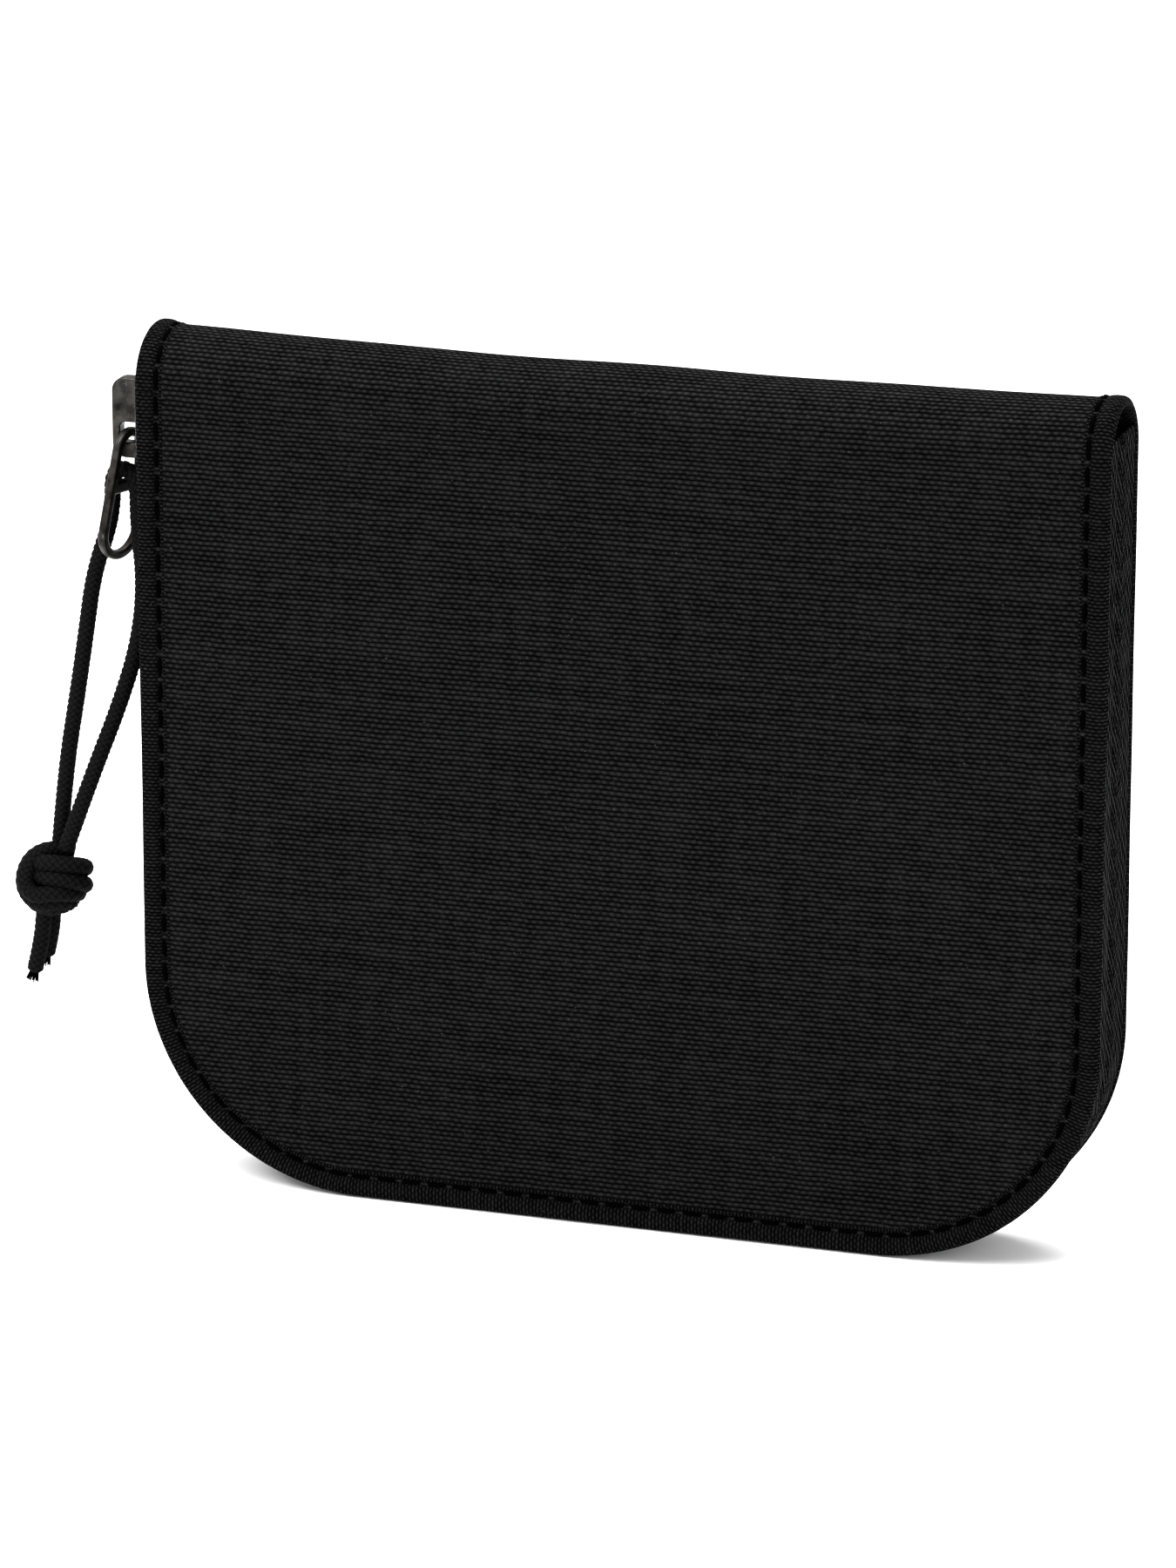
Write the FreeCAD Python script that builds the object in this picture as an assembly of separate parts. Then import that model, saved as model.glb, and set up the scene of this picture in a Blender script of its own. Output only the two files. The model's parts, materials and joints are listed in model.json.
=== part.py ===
"""Zip-round travel wallet: a folded fabric shell whose two halves are joined by a curved spine at the top.

A coil zip runs down the left side, along the bottom and up the right side. Its metal slider is parked at the
top left, and carries a pull with a knotted cord loop. Units are millimetres. X runs along the spine, Y from the
front half to the back half, and Z up. The model is drawn about the wallet's own middle plane and then moved
along X, so that the box round the wallet and its slider is centred on the origin and stands on Z = 0.
"""
import FreeCAD, Part
import math
import os

Vector = FreeCAD.Vector

# ---- overall size
WIDTH = 130.0
HEIGHT = 115.0
THICKNESS = 15.0
CORNER_RADIUS = 30.0

# ---- cloth layers, counted inwards from the binding's outer face
BINDING_WIDTH = 4.0
BINDING_CLOTH = 0.3
BINDING_EDGE = 0.4
SHELL_CLOTH = 0.6
STIFFENER = 1.1
LINING_CLOTH = 0.4
TAPE_CLOTH = 0.5
STIFFENER_MARGIN = 1.2
PARTING_GAP = 0.1

# ---- zip
TAPE_FLANGE = 4.4
TAPE_ABOVE_SPINE_LINE = 1.5
COIL_DEPTH = 1.6
COIL_GAP = 0.4
TAPE_GAP = 0.4
COIL_TOP_BELOW_TAPE = 2.0
STOP_HEIGHT = 1.5
STOP_WALL = 0.25

# ---- slider
SLIDER_LENGTH = 12.3
SLIDER_DROP = 7.3
SLIDER_HALF_WIDTH = 3.9
SLIDER_TAIL_HALF_WIDTH = 3.5
SLIDER_PLATE = 0.9
SLIDER_FLANGE = 0.8
SLIDER_PLAY = 0.3
SLIDER_POST_HALF = 0.22
SLIDER_POST_LENGTH = 2.6
SLIDER_CORNER = 1.4
CHAIN_CLEAR = 0.8
TAPE_SIDE_CLEAR = 0.2
BAIL_RISE = 4.4
BAIL_STRAP = 1.1
BAIL_FOOT_LEG = 2.1
BAIL_WINDOW = 2.7
BAIL_HALF_WIDTH = 1.0
BAIL_TOP_MARGIN = 0.3
BAIL_HEIGHT = 10.8
BAIL_CORNER = 1.9
BAIL_ROUND = 0.3

# ---- pull tab
PULL_THICKNESS = 1.2
PULL_LENGTH = 18.1
PULL_TOP_RADIUS = 2.9
PULL_BOTTOM_RADIUS = 4.1
PULL_BAR = 1.2
PULL_EDGE_ROUND = 0.4
PULL_TWIST = 18.0
PULL_TILT = 7.0
PULL_PLAY = 0.65
CROSSBAR_DEPTH = 7.3
CROSSBAR_HEIGHT = 1.7
PULL_STAND_OFF = 2.2

# ---- cord
CORD_DIAMETER = 2.1
CORD_FOLD_RADIUS = 2.1
KNOT_RADIUS = 5.0
RUN_SHARE = 0.45

# ---- pockets
POCKET_CLOTH = 0.3
POCKET_INSET = 3.0
NOTE_POCKET_TOP = 96.0
CARD_WIDTH = 85.6
CARD_PLAY = 1.9
CARD_SEAM = 2.5
CARD_GAP = 0.5
CARD_FOOT = 8.0
CARD_TOPS = (92.0, 80.0, 68.0)
COIN_WIDTH = 92.0
COIN_FOOT = 12.0
COIN_TOP = 84.0
COIN_DEPTH = 1.2
COIN_WALL = 0.4
COIN_ZIP_HEIGHT = 64.0
COIN_TAPE = 2.6
COIN_ZIP_GAP = 0.2
COIN_COIL = 0.6
COIN_COIL_WIDTH = 1.2
COIN_SLIDER = (6.0, 5.0)
COIN_PLATE = 0.3
COIN_PLAY = 0.1

# ---- worked out from the sizes above
HALF_W = WIDTH / 2
HALF_T = THICKNESS / 2
SPINE_LINE = HEIGHT - HALF_T
SHELL_OUT = HALF_T - BINDING_CLOTH
SHELL_IN = SHELL_OUT - SHELL_CLOTH
STIFFENER_IN = SHELL_IN - STIFFENER
LINING_IN = STIFFENER_IN - LINING_CLOTH
BINDING_IN = LINING_IN - BINDING_CLOTH
FLANGE_IN = BINDING_IN - TAPE_CLOTH
TAPE_TOP = SPINE_LINE + TAPE_ABOVE_SPINE_LINE
COIL_TOP = TAPE_TOP - COIL_TOP_BELOW_TAPE
TAPE_IN = HALF_W - TAPE_CLOTH
COIL_IN = TAPE_IN - COIL_DEPTH
COIL_HALF_WIDTH = SLIDER_HALF_WIDTH - SLIDER_FLANGE - SLIDER_PLAY
SLIDER_TOP = HEIGHT - SLIDER_DROP
SLIDER_FOOT = SLIDER_TOP - SLIDER_LENGTH
PLATE_IN = HALF_W + SLIDER_PLAY
PLATE_OUT = PLATE_IN + SLIDER_PLATE
BAIL_OUT = PLATE_OUT + BAIL_RISE
BAIL_TOP = SLIDER_TOP - BAIL_TOP_MARGIN
BAIL_FOOT = BAIL_TOP - BAIL_HEIGHT
PIVOT_OUT = PLATE_OUT + PULL_STAND_OFF
PIVOT_Z = BAIL_FOOT + BAIL_FOOT_LEG + PULL_THICKNESS / 2 + PULL_PLAY
CROSSBAR_OUT = PIVOT_OUT + CROSSBAR_DEPTH * math.sin(math.radians(PULL_TILT))
CROSSBAR_Z = PIVOT_Z - CROSSBAR_DEPTH * math.cos(math.radians(PULL_TILT))
SLIDE_TRAVEL = SLIDER_FOOT - CORNER_RADIUS - 1.0


def box(x0, x1, y0, y1, z0, z1):
    """A box from its two corners."""
    return Part.makeBox(x1 - x0, y1 - y0, z1 - z0, Vector(x0, y0, z0))


def half_sign(half):
    """-1 for the front half, which has the lower Y, and 1 for the back half."""
    return -1.0 if half == "front" else 1.0


def slab(half, inset, near, far, top):
    """A panel of one half: straight sides, rounded lower corners, from depth near to depth far off the middle."""
    side = HALF_W - inset
    radius = CORNER_RADIUS - inset
    centre_x = HALF_W - CORNER_RADIUS
    slant = radius * math.sqrt(0.5)
    y = half_sign(half) * near
    corner = [
        Vector(side, y, CORNER_RADIUS),
        Vector(centre_x + slant, y, CORNER_RADIUS - slant),
        Vector(centre_x, y, inset),
    ]
    mirrored = [Vector(-p.x, p.y, p.z) for p in corner]
    right_top, left_top = Vector(side, y, top), Vector(-side, y, top)
    edges = [
        Part.LineSegment(right_top, corner[0]),
        Part.Arc(*corner),
        Part.LineSegment(corner[2], mirrored[2]),
        Part.Arc(*reversed(mirrored)),
        Part.LineSegment(mirrored[0], left_top),
        Part.LineSegment(left_top, right_top),
    ]
    wire = Part.Wire([e.toShape() for e in edges])
    return Part.Face(wire).extrude(Vector(0, half_sign(half) * (far - near), 0))


def u_strip(half, outer, inner, near, far, top):
    """What is left of a slab when a smaller one is taken out: a strip down one side, round and up the other."""
    margin = 1.0
    hole = slab(half, inner, near - margin, far + margin, top + margin)
    return slab(half, outer, near, far, top).cut(hole)


def spine_arc(half, inner, outer, x0, x1):
    """A quarter of a tube along the spine, from the panel's top edge to just short of the crown."""
    start = Vector(x0, 0, SPINE_LINE)
    ring = Part.makeCylinder(outer, x1 - x0, start, Vector(1, 0, 0))
    ring = ring.cut(Part.makeCylinder(inner, x1 - x0, start, Vector(1, 0, 0)))
    side = half_sign(half)
    y0, y1 = sorted((side * PARTING_GAP, side * (outer + 1)))
    return ring.common(box(x0, x1, y0, y1, SPINE_LINE, HEIGHT + 1))


def shell(half):
    """The outer cloth of one half, with its quarter of the spine."""
    side = HALF_W - BINDING_EDGE
    flat = slab(half, BINDING_EDGE, SHELL_IN, SHELL_OUT, SPINE_LINE)
    return flat.fuse(spine_arc(half, SHELL_IN, SHELL_OUT, -side, side)).removeSplitter()


def binding(half):
    """Folded tape round the edge of one half, and over its quarter of the spine at both ends."""
    body = u_strip(half, 0, BINDING_WIDTH, BINDING_IN, HALF_T, SPINE_LINE)
    body = body.cut(slab(half, BINDING_EDGE, LINING_IN, SHELL_OUT, SPINE_LINE + 1))
    for side in (-1, 1):
        x0, x1 = sorted((side * HALF_W, side * (HALF_W - BINDING_WIDTH)))
        c0, c1 = sorted((side * (HALF_W - BINDING_EDGE), side * (HALF_W - BINDING_WIDTH - 1)))
        bow = spine_arc(half, SHELL_IN - BINDING_CLOTH, HALF_T, x0, x1)
        slot = spine_arc(half, SHELL_IN, SHELL_OUT, c0, c1)
        body = body.fuse(bow.cut(slot))
    return body.removeSplitter()


def stiffener(half):
    """Thin foam board between the shell and the lining."""
    return slab(half, STIFFENER_MARGIN, STIFFENER_IN, SHELL_IN, SPINE_LINE - STIFFENER_MARGIN)


def lining(half):
    """Inner cloth of one half."""
    return slab(half, BINDING_EDGE, LINING_IN, STIFFENER_IN, SPINE_LINE)


def parked_slot():
    """The space round the parked slider that the front half's tape and coil stay out of."""
    y = -(SLIDER_HALF_WIDTH + TAPE_SIDE_CLEAR)
    low = SLIDER_FOOT - CHAIN_CLEAR
    high = SLIDER_TOP + TAPE_SIDE_CLEAR
    return box(-HALF_W - 1, -TAPE_IN + 1, y, 0, low, high)


def zip_tape(half):
    """Zip tape: a flange sewn to the lining, and an outer wall that reaches towards the other half."""
    flange = u_strip(half, 0, TAPE_CLOTH + TAPE_FLANGE, FLANGE_IN, BINDING_IN, SPINE_LINE)
    wall = u_strip(half, 0, TAPE_CLOTH, TAPE_GAP, FLANGE_IN, TAPE_TOP)
    tape = flange.fuse(wall).removeSplitter().cut(slider_path())
    return tape.cut(parked_slot()) if half == "front" else tape


def slider_path():
    """The room that the slider's inner plate sweeps inside the tape, from parked to the foot of its travel."""
    side = SLIDER_HALF_WIDTH + TAPE_SIDE_CLEAR
    floor = COIL_IN - SLIDER_PLAY - SLIDER_PLATE - TAPE_SIDE_CLEAR
    return box(-TAPE_IN, -floor, -side, side, SLIDER_FOOT - SLIDE_TRAVEL - CHAIN_CLEAR, HEIGHT)


def zip_coil(half):
    """One side of the coil, as a plain bead on the tape's inner face."""
    bead = u_strip(half, TAPE_CLOTH, TAPE_CLOTH + COIL_DEPTH, COIL_GAP, COIL_HALF_WIDTH, COIL_TOP)
    if half == "front":
        high = box(-HALF_W, -COIL_IN + 1, -HALF_T, 0, SLIDER_FOOT - CHAIN_CLEAR, HEIGHT)
        bead = bead.cut(high)
    return bead


def zip_end():
    """The last stretch of the front half's tape and coil, which the parked slider holds."""
    inside = SLIDER_HALF_WIDTH + TAPE_SIDE_CLEAR / 2
    low = SLIDER_FOOT - CHAIN_CLEAR + TAPE_SIDE_CLEAR
    tape = box(-HALF_W, -TAPE_IN, -inside, -TAPE_GAP, low, SLIDER_TOP)
    coil = box(-TAPE_IN, -COIL_IN, -COIL_HALF_WIDTH, -COIL_GAP, low, COIL_TOP)
    return tape.fuse(coil).removeSplitter()


def stop(side_x, half):
    """A metal stop clamped on the end of one coil."""
    side = half_sign(half)
    x0, x1 = sorted((side_x * TAPE_IN, side_x * (COIL_IN - STOP_WALL)))
    y0, y1 = sorted((side * COIL_GAP, side * (COIL_HALF_WIDTH + STOP_WALL)))
    body = box(x0, x1, y0, y1, COIL_TOP, COIL_TOP + STOP_HEIGHT)
    return body.makeFillet(STOP_WALL, [e for e in body.Edges if abs(e.CenterOfMass.x) < COIL_IN])


def stops(half):
    """Both stops of one half, as two solids."""
    return Part.makeCompound([stop(-1, half), stop(1, half)])


def slider_outline(x0, x1):
    """The slider's plates seen from outside: square shoulders at the top and a narrower, rounded tail."""
    wide, tail = SLIDER_HALF_WIDTH, SLIDER_TAIL_HALF_WIDTH
    points = [
        (-wide, SLIDER_TOP),
        (wide, SLIDER_TOP),
        (wide, SLIDER_FOOT + SLIDER_LENGTH / 2),
        (tail, SLIDER_FOOT),
        (-tail, SLIDER_FOOT),
        (-wide, SLIDER_FOOT + SLIDER_LENGTH / 2),
    ]
    wire = Part.makePolygon([Vector(x0, y, z) for y, z in points + points[:1]])
    block = Part.Face(wire).extrude(Vector(x1 - x0, 0, 0))
    corners = [e for e in block.Edges if is_outer_corner(e)]
    return block.makeFillet(SLIDER_CORNER, corners)


def is_outer_corner(edge):
    """An edge of the slider's outline that runs along X at its top or foot."""
    along_x = abs(edge.tangentAt(edge.FirstParameter).x) > 0.9
    z = edge.CenterOfMass.z
    return along_x and (z > SLIDER_TOP - 0.1 or z < SLIDER_FOOT + 0.1)


def slider_body():
    """An outer plate over the tapes, an inner plate whose flanges hold the coils, and the post that parts them."""
    outer = slider_outline(-PLATE_OUT, -PLATE_IN)
    mouth, floor = TAPE_IN - SLIDER_PLAY, COIL_IN - SLIDER_PLAY
    inner = slider_outline(-mouth, -floor + SLIDER_PLATE)
    channel_half = SLIDER_HALF_WIDTH - SLIDER_FLANGE
    channel = box(-mouth - 1, -floor, -channel_half, channel_half, SLIDER_FOOT - 1, SLIDER_TOP + 1)
    post_top = SLIDER_TOP - SLIDER_CORNER
    half = SLIDER_POST_HALF
    post = box(-PLATE_IN, -floor, -half, half, post_top - SLIDER_POST_LENGTH, post_top)
    return outer.fuse([inner.cut(channel), post]).removeSplitter()


def rounded_face(u0, u1, z0, z1, radius, y):
    """A rectangle in the X-Z plane with its two outer corners rounded, at -X."""
    slant = radius * (1 - math.sqrt(0.5))
    a, b = Vector(-u0, y, z1), Vector(-u1 + radius, y, z1)
    c, d = Vector(-u1 + slant, y, z1 - slant), Vector(-u1, y, z1 - radius)
    e, f = Vector(-u1, y, z0 + radius), Vector(-u1 + slant, y, z0 + slant)
    g, h = Vector(-u1 + radius, y, z0), Vector(-u0, y, z0)
    parts = [
        Part.LineSegment(a, b),
        Part.Arc(b, c, d),
        Part.LineSegment(d, e),
        Part.Arc(e, f, g),
        Part.LineSegment(g, h),
        Part.LineSegment(h, a),
    ]
    return Part.Face(Part.Wire([p.toShape() for p in parts]))


def slider_bail():
    """The bridge on the slider's outer plate that the pull hangs from."""
    run = Vector(0, 2 * BAIL_HALF_WIDTH, 0)
    outside = rounded_face(PLATE_OUT, BAIL_OUT, BAIL_FOOT, BAIL_TOP, BAIL_CORNER, -BAIL_HALF_WIDTH).extrude(run)
    hole = rounded_face(
        PLATE_OUT - 1,
        BAIL_OUT - BAIL_STRAP,
        BAIL_FOOT + BAIL_FOOT_LEG,
        BAIL_FOOT + BAIL_FOOT_LEG + BAIL_WINDOW,
        BAIL_CORNER - BAIL_STRAP,
        -BAIL_HALF_WIDTH - 1,
    ).extrude(run + Vector(0, 2, 0))
    body = outside.cut(hole)
    side = BAIL_HALF_WIDTH - 0.01
    rim = [e for e in body.Edges if abs(e.CenterOfMass.x) > PLATE_OUT + 0.2 and abs(e.CenterOfMass.y) > side]
    return body.makeFillet(BAIL_ROUND, rim)


def teardrop(grow, x0, x1):
    """The pull's outline about its pivot, grown or shrunk: two circles and the lines that touch both."""
    top_r, foot_r = PULL_TOP_RADIUS + grow, PULL_BOTTOM_RADIUS + grow
    top_z = PULL_THICKNESS / 2 - PULL_TOP_RADIUS
    foot_z = PULL_THICKNESS / 2 - PULL_LENGTH + PULL_BOTTOM_RADIUS
    lean = math.asin((foot_r - top_r) / (top_z - foot_z))
    cosine, sine = math.cos(lean), math.sin(lean)
    right_top = Vector(x0, top_r * cosine, top_z + top_r * sine)
    right_foot = Vector(x0, foot_r * cosine, foot_z + foot_r * sine)
    left_top = Vector(x0, -right_top.y, right_top.z)
    left_foot = Vector(x0, -right_foot.y, right_foot.z)
    edges = [
        Part.Arc(left_top, Vector(x0, 0, top_z + top_r), right_top),
        Part.LineSegment(right_top, right_foot),
        Part.Arc(right_foot, Vector(x0, 0, foot_z - foot_r), left_foot),
        Part.LineSegment(left_foot, left_top),
    ]
    return Part.Face(Part.Wire([e.toShape() for e in edges])).extrude(Vector(x1 - x0, 0, 0))


def hang(shape):
    """Turns a shape drawn about the pull's pivot by the pull's twist and tilt, and puts it on the bail."""
    shape.rotate(Vector(0, 0, 0), Vector(0, 0, 1), -PULL_TWIST)
    shape.rotate(Vector(0, 0, 0), Vector(0, 1, 0), PULL_TILT)
    shape.translate(Vector(-PIVOT_OUT, 0, PIVOT_Z))
    return shape


def pull_tab():
    """Teardrop of flat metal with a window for the bail and, below the crossbar, one for the cord."""
    half = PULL_THICKNESS / 2
    window = teardrop(-PULL_BAR, -half - 1, half + 1)
    crossbar = box(
        -half - 2,
        half + 2,
        -PULL_BOTTOM_RADIUS,
        PULL_BOTTOM_RADIUS,
        -CROSSBAR_DEPTH - CROSSBAR_HEIGHT / 2,
        -CROSSBAR_DEPTH + CROSSBAR_HEIGHT / 2,
    )
    body = teardrop(0, -half, half).cut(window.cut(crossbar))
    faces = [e for e in body.Edges if abs(abs(e.CenterOfMass.x) - half) < 0.01]
    return hang(body.makeFillet(PULL_EDGE_ROUND, faces))


# The route of each leg of the cord below the fold, as (outwards, Y, up) from the middle of the crossbar.
# The first point of each is straight below the end of the fold, so only its height is given.
OUTER_LEG_TOP = -4.4
OUTER_LEG = [
    (4.8, 0.5, -12.4),
    (6.0, 0.4, -20.6),
    (7.4, 0.2, -29.6),
    (9.4, 0.7, -39.9),
    (10.6, 1.1, -50.2),
]
INNER_LEG_TOP = -5.2
INNER_LEG = [
    (-2.7, -0.5, -12.6),
    (-1.8, -0.4, -20.8),
    (1.1, -0.3, -29.8),
    (5.2, -0.7, -40.2),
    (8.9, -1.1, -50.5),
]
KNOT_CENTRE = (11.0, 0.0, -54.9)
LONG_TAIL = [(12.4, -0.6, -59.0), (13.9, -0.9, -68.4)]
SHORT_TAIL = [(12.0, 1.6, -59.2), (13.1, 1.5, -66.8)]


def cord_point(point):
    """A point of the cord from its place outwards of, along Y from and above the middle of the crossbar."""
    out, y, up = point
    return Vector(-CROSSBAR_OUT - out, y, CROSSBAR_Z + up)


def fold_point(side, up):
    """A point of the fold over the crossbar: side is along the pull's face normal, up is above its middle."""
    twist = math.radians(PULL_TWIST)
    return cord_point((side * math.cos(twist), side * math.sin(twist), up))


def leg_wire(top, route, side):
    """A quarter circle over the crossbar, then straight runs joined by tangent arcs, down to the knot."""
    radius = CORD_FOLD_RADIUS
    slant = radius * math.sqrt(0.5)
    start = fold_point(side * radius, 0)
    edges = [Part.Arc(fold_point(0, radius), fold_point(side * slant, slant), start).toShape()]
    points = [start, fold_point(side * radius, top)] + [cord_point(p) for p in route]
    at = start
    for before, here, after in zip(points, points[1:], points[2:]):
        back, on = (before - here), (after - here)
        run = min(back.Length, on.Length)
        back.normalize()
        on.normalize()
        half_turn = (math.pi - back.getAngle(on)) / 2
        cut = RUN_SHARE * run
        bend = cut / math.tan(half_turn)
        print(f"cord bend radius {bend:.1f} mm, turn {math.degrees(2 * half_turn):.1f} degrees")
        first, last = here + back * cut, here + on * cut
        middle = back + on
        middle.normalize()
        crown = here + middle * (bend / math.cos(half_turn) - bend)
        edges.append(Part.LineSegment(at, first).toShape())
        edges.append(Part.Arc(first, crown, last).toShape())
        at = last
    edges.append(Part.LineSegment(at, points[-1]).toShape())
    return Part.Wire(edges)


def cord_leg(top, route, side):
    """One leg of the cord as a plain tube."""
    wire = leg_wire(top, route, side)
    along = fold_point(side, 0) - fold_point(0, 0)
    ring = Part.Wire([Part.makeCircle(CORD_DIAMETER / 2, fold_point(0, CORD_FOLD_RADIUS), along)])
    tube = wire.makePipeShell([ring], True, False)
    plain = math.pi * CORD_DIAMETER**2 / 4 * wire.Length
    print(f"cord leg {wire.Length:.1f} mm, volume {tube.Volume / plain:.4f} of section times length")
    return tube


def cord_tail(ends):
    """One cut end of the cord below the knot."""
    first, last = (cord_point(p) for p in ends)
    run = last - first
    return Part.makeCylinder(CORD_DIAMETER / 2, run.Length, first, run)


def cord_nodes():
    """The cord's two legs, its two tails, and the knot in both legs as a plain ball that they all run into."""
    pieces = {
        "cord_outer_leg": cord_leg(OUTER_LEG_TOP, OUTER_LEG, 1),
        "cord_inner_leg": cord_leg(INNER_LEG_TOP, INNER_LEG, -1),
        "cord_tail_long": cord_tail(LONG_TAIL),
        "cord_tail_short": cord_tail(SHORT_TAIL),
    }
    ball = Part.makeSphere(KNOT_RADIUS, cord_point(KNOT_CENTRE))
    pieces["cord_knot"] = ball.cut(list(pieces.values()))
    return pieces


def pocket_panel(half, near, half_width, foot, top):
    """A flat pocket panel whose inner face is near the middle."""
    side = half_sign(half)
    y0, y1 = sorted((side * near, side * (near + POCKET_CLOTH)))
    return box(-half_width, half_width, y0, y1, foot, top)


def note_pocket():
    """Full-width panel that holds banknotes against the front lining."""
    return slab("front", POCKET_INSET, FLANGE_IN - POCKET_CLOTH, FLANGE_IN, NOTE_POCKET_TOP)


def card_near(index):
    """How far off the middle the inner face of one card panel is; 0 is the panel next to the lining."""
    return FLANGE_IN - POCKET_CLOTH - index * (CARD_GAP + POCKET_CLOTH)


def card_backing():
    """Full-width panel that the card slots are sewn to."""
    return slab("back", POCKET_INSET, FLANGE_IN - POCKET_CLOTH, FLANGE_IN, CARD_TOPS[0])


def card_panel(index):
    """One stepped panel of the card slots."""
    half_width = CARD_WIDTH / 2 + CARD_PLAY / 2 + CARD_SEAM
    return pocket_panel("back", card_near(index), half_width, CARD_FOOT, CARD_TOPS[index])


def card_seams():
    """Sewn side and bottom edges between the card panels, as separate strips."""
    outer = CARD_WIDTH / 2 + CARD_PLAY / 2 + CARD_SEAM
    strips = []
    for index in range(1, len(CARD_TOPS)):
        y0 = card_near(index) + POCKET_CLOTH
        y1 = card_near(index - 1)
        top = CARD_TOPS[index]
        strip = box(-outer, outer, y0, y1, CARD_FOOT, top)
        inside = outer - CARD_SEAM
        strips.append(strip.cut(box(-inside, inside, y0 - 1, y1 + 1, CARD_FOOT + CARD_SEAM, top + 1)))
    return Part.makeCompound(strips)


COIN_BACK = FLANGE_IN - POCKET_CLOTH
COIN_FRONT = COIN_BACK - COIN_DEPTH
COIN_HALF = COIN_WIDTH / 2
COIN_LOWER_EDGE = COIN_ZIP_HEIGHT - COIN_ZIP_GAP - COIN_TAPE
COIN_UPPER_EDGE = COIN_ZIP_HEIGHT + COIN_ZIP_GAP + COIN_TAPE


def coin_gusset():
    """The coin pocket's side and bottom walls, standing on the note pocket."""
    outside = box(-COIN_HALF, COIN_HALF, -COIN_BACK, -COIN_FRONT, COIN_FOOT, COIN_TOP)
    wall = COIN_WALL
    inside = box(
        -COIN_HALF + wall, COIN_HALF - wall, -COIN_BACK - 1, -COIN_FRONT + 1, COIN_FOOT + wall, COIN_TOP - wall
    )
    return outside.cut(inside)


def coin_strip(z0, z1):
    """A full-width piece of the coin pocket's face between two heights."""
    return box(-COIN_HALF, COIN_HALF, -COIN_FRONT, -COIN_FRONT + POCKET_CLOTH, z0, z1)


def coin_tapes():
    """The coin zip's two tapes."""
    lower = coin_strip(COIN_LOWER_EDGE, COIN_ZIP_HEIGHT - COIN_ZIP_GAP)
    upper = coin_strip(COIN_ZIP_HEIGHT + COIN_ZIP_GAP, COIN_UPPER_EDGE)
    return Part.makeCompound([lower, upper])


def coin_coils():
    """The coin zip's two coils, on the tapes' inner-facing side."""
    y0 = -COIN_FRONT + POCKET_CLOTH
    side = COIN_HALF - COIN_WALL
    lower_edge = COIN_ZIP_HEIGHT - COIN_ZIP_GAP
    upper_edge = COIN_ZIP_HEIGHT + COIN_ZIP_GAP
    lower = box(-side, side, y0, y0 + COIN_COIL, lower_edge - COIN_COIL_WIDTH, lower_edge)
    upper = box(-side, side, y0, y0 + COIN_COIL, upper_edge, upper_edge + COIN_COIL_WIDTH)
    return Part.makeCompound([lower, upper])


def coin_slider():
    """The coin zip's slider: two thin plates joined by a post between the tapes."""
    long, tall = COIN_SLIDER
    x0 = -COIN_HALF + COIN_WALL + COIN_PLAY
    z0, z1 = COIN_ZIP_HEIGHT - tall / 2, COIN_ZIP_HEIGHT + tall / 2
    outer_y = -COIN_FRONT + POCKET_CLOTH + COIN_COIL + COIN_PLAY
    inner_y = -COIN_FRONT - COIN_PLAY
    outer = box(x0, x0 + long, outer_y, outer_y + COIN_PLATE, z0, z1)
    outer = outer.makeFillet(1.2, [e for e in outer.Edges if abs(e.tangentAt(e.FirstParameter).y) > 0.9])
    inner = box(x0, x0 + long, inner_y - COIN_PLATE, inner_y, z0, z1)
    post_half = COIN_ZIP_GAP / 2
    post = box(x0, x0 + long / 3, inner_y, outer_y, COIN_ZIP_HEIGHT - post_half, COIN_ZIP_HEIGHT + post_half)
    return outer.fuse([inner, post]).removeSplitter()


def nodes():
    """Every sub-part by its node name."""
    made = {}
    for half in ("front", "back"):
        made[f"shell_{half}"] = shell(half)
        made[f"binding_{half}"] = binding(half)
        made[f"stiffener_{half}"] = stiffener(half)
        made[f"lining_{half}"] = lining(half)
        made[f"zip_tape_{half}"] = zip_tape(half)
        made[f"zip_coil_{half}"] = zip_coil(half)
        made[f"zip_stops_{half}"] = stops(half)
    made["zip_chain_end"] = zip_end()
    made["slider_body"] = slider_body()
    made["slider_bail"] = slider_bail()
    made["pull_tab"] = pull_tab()
    made.update(cord_nodes())
    made["note_pocket_panel"] = note_pocket()
    made["coin_pocket_gusset"] = coin_gusset()
    made["coin_pocket_lower_panel"] = coin_strip(COIN_FOOT, COIN_LOWER_EDGE)
    made["coin_pocket_upper_panel"] = coin_strip(COIN_UPPER_EDGE, COIN_TOP)
    made["coin_zip_tapes"] = coin_tapes()
    made["coin_zip_coils"] = coin_coils()
    made["coin_zip_slider"] = coin_slider()
    made["card_pocket_backing"] = card_backing()
    for index in range(1, len(CARD_TOPS)):
        made[f"card_slot_panel_{index}"] = card_panel(index)
    made["card_slot_seams"] = card_seams()
    return made


def shift_x(made):
    """How far to move the model so that the box round all of it but the cord is centred in X."""
    boxes = [shape.optimalBoundingBox(False) for name, shape in made.items() if not name.startswith("cord_")]
    return -(min(b.XMin for b in boxes) + max(b.XMax for b in boxes)) / 2


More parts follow.
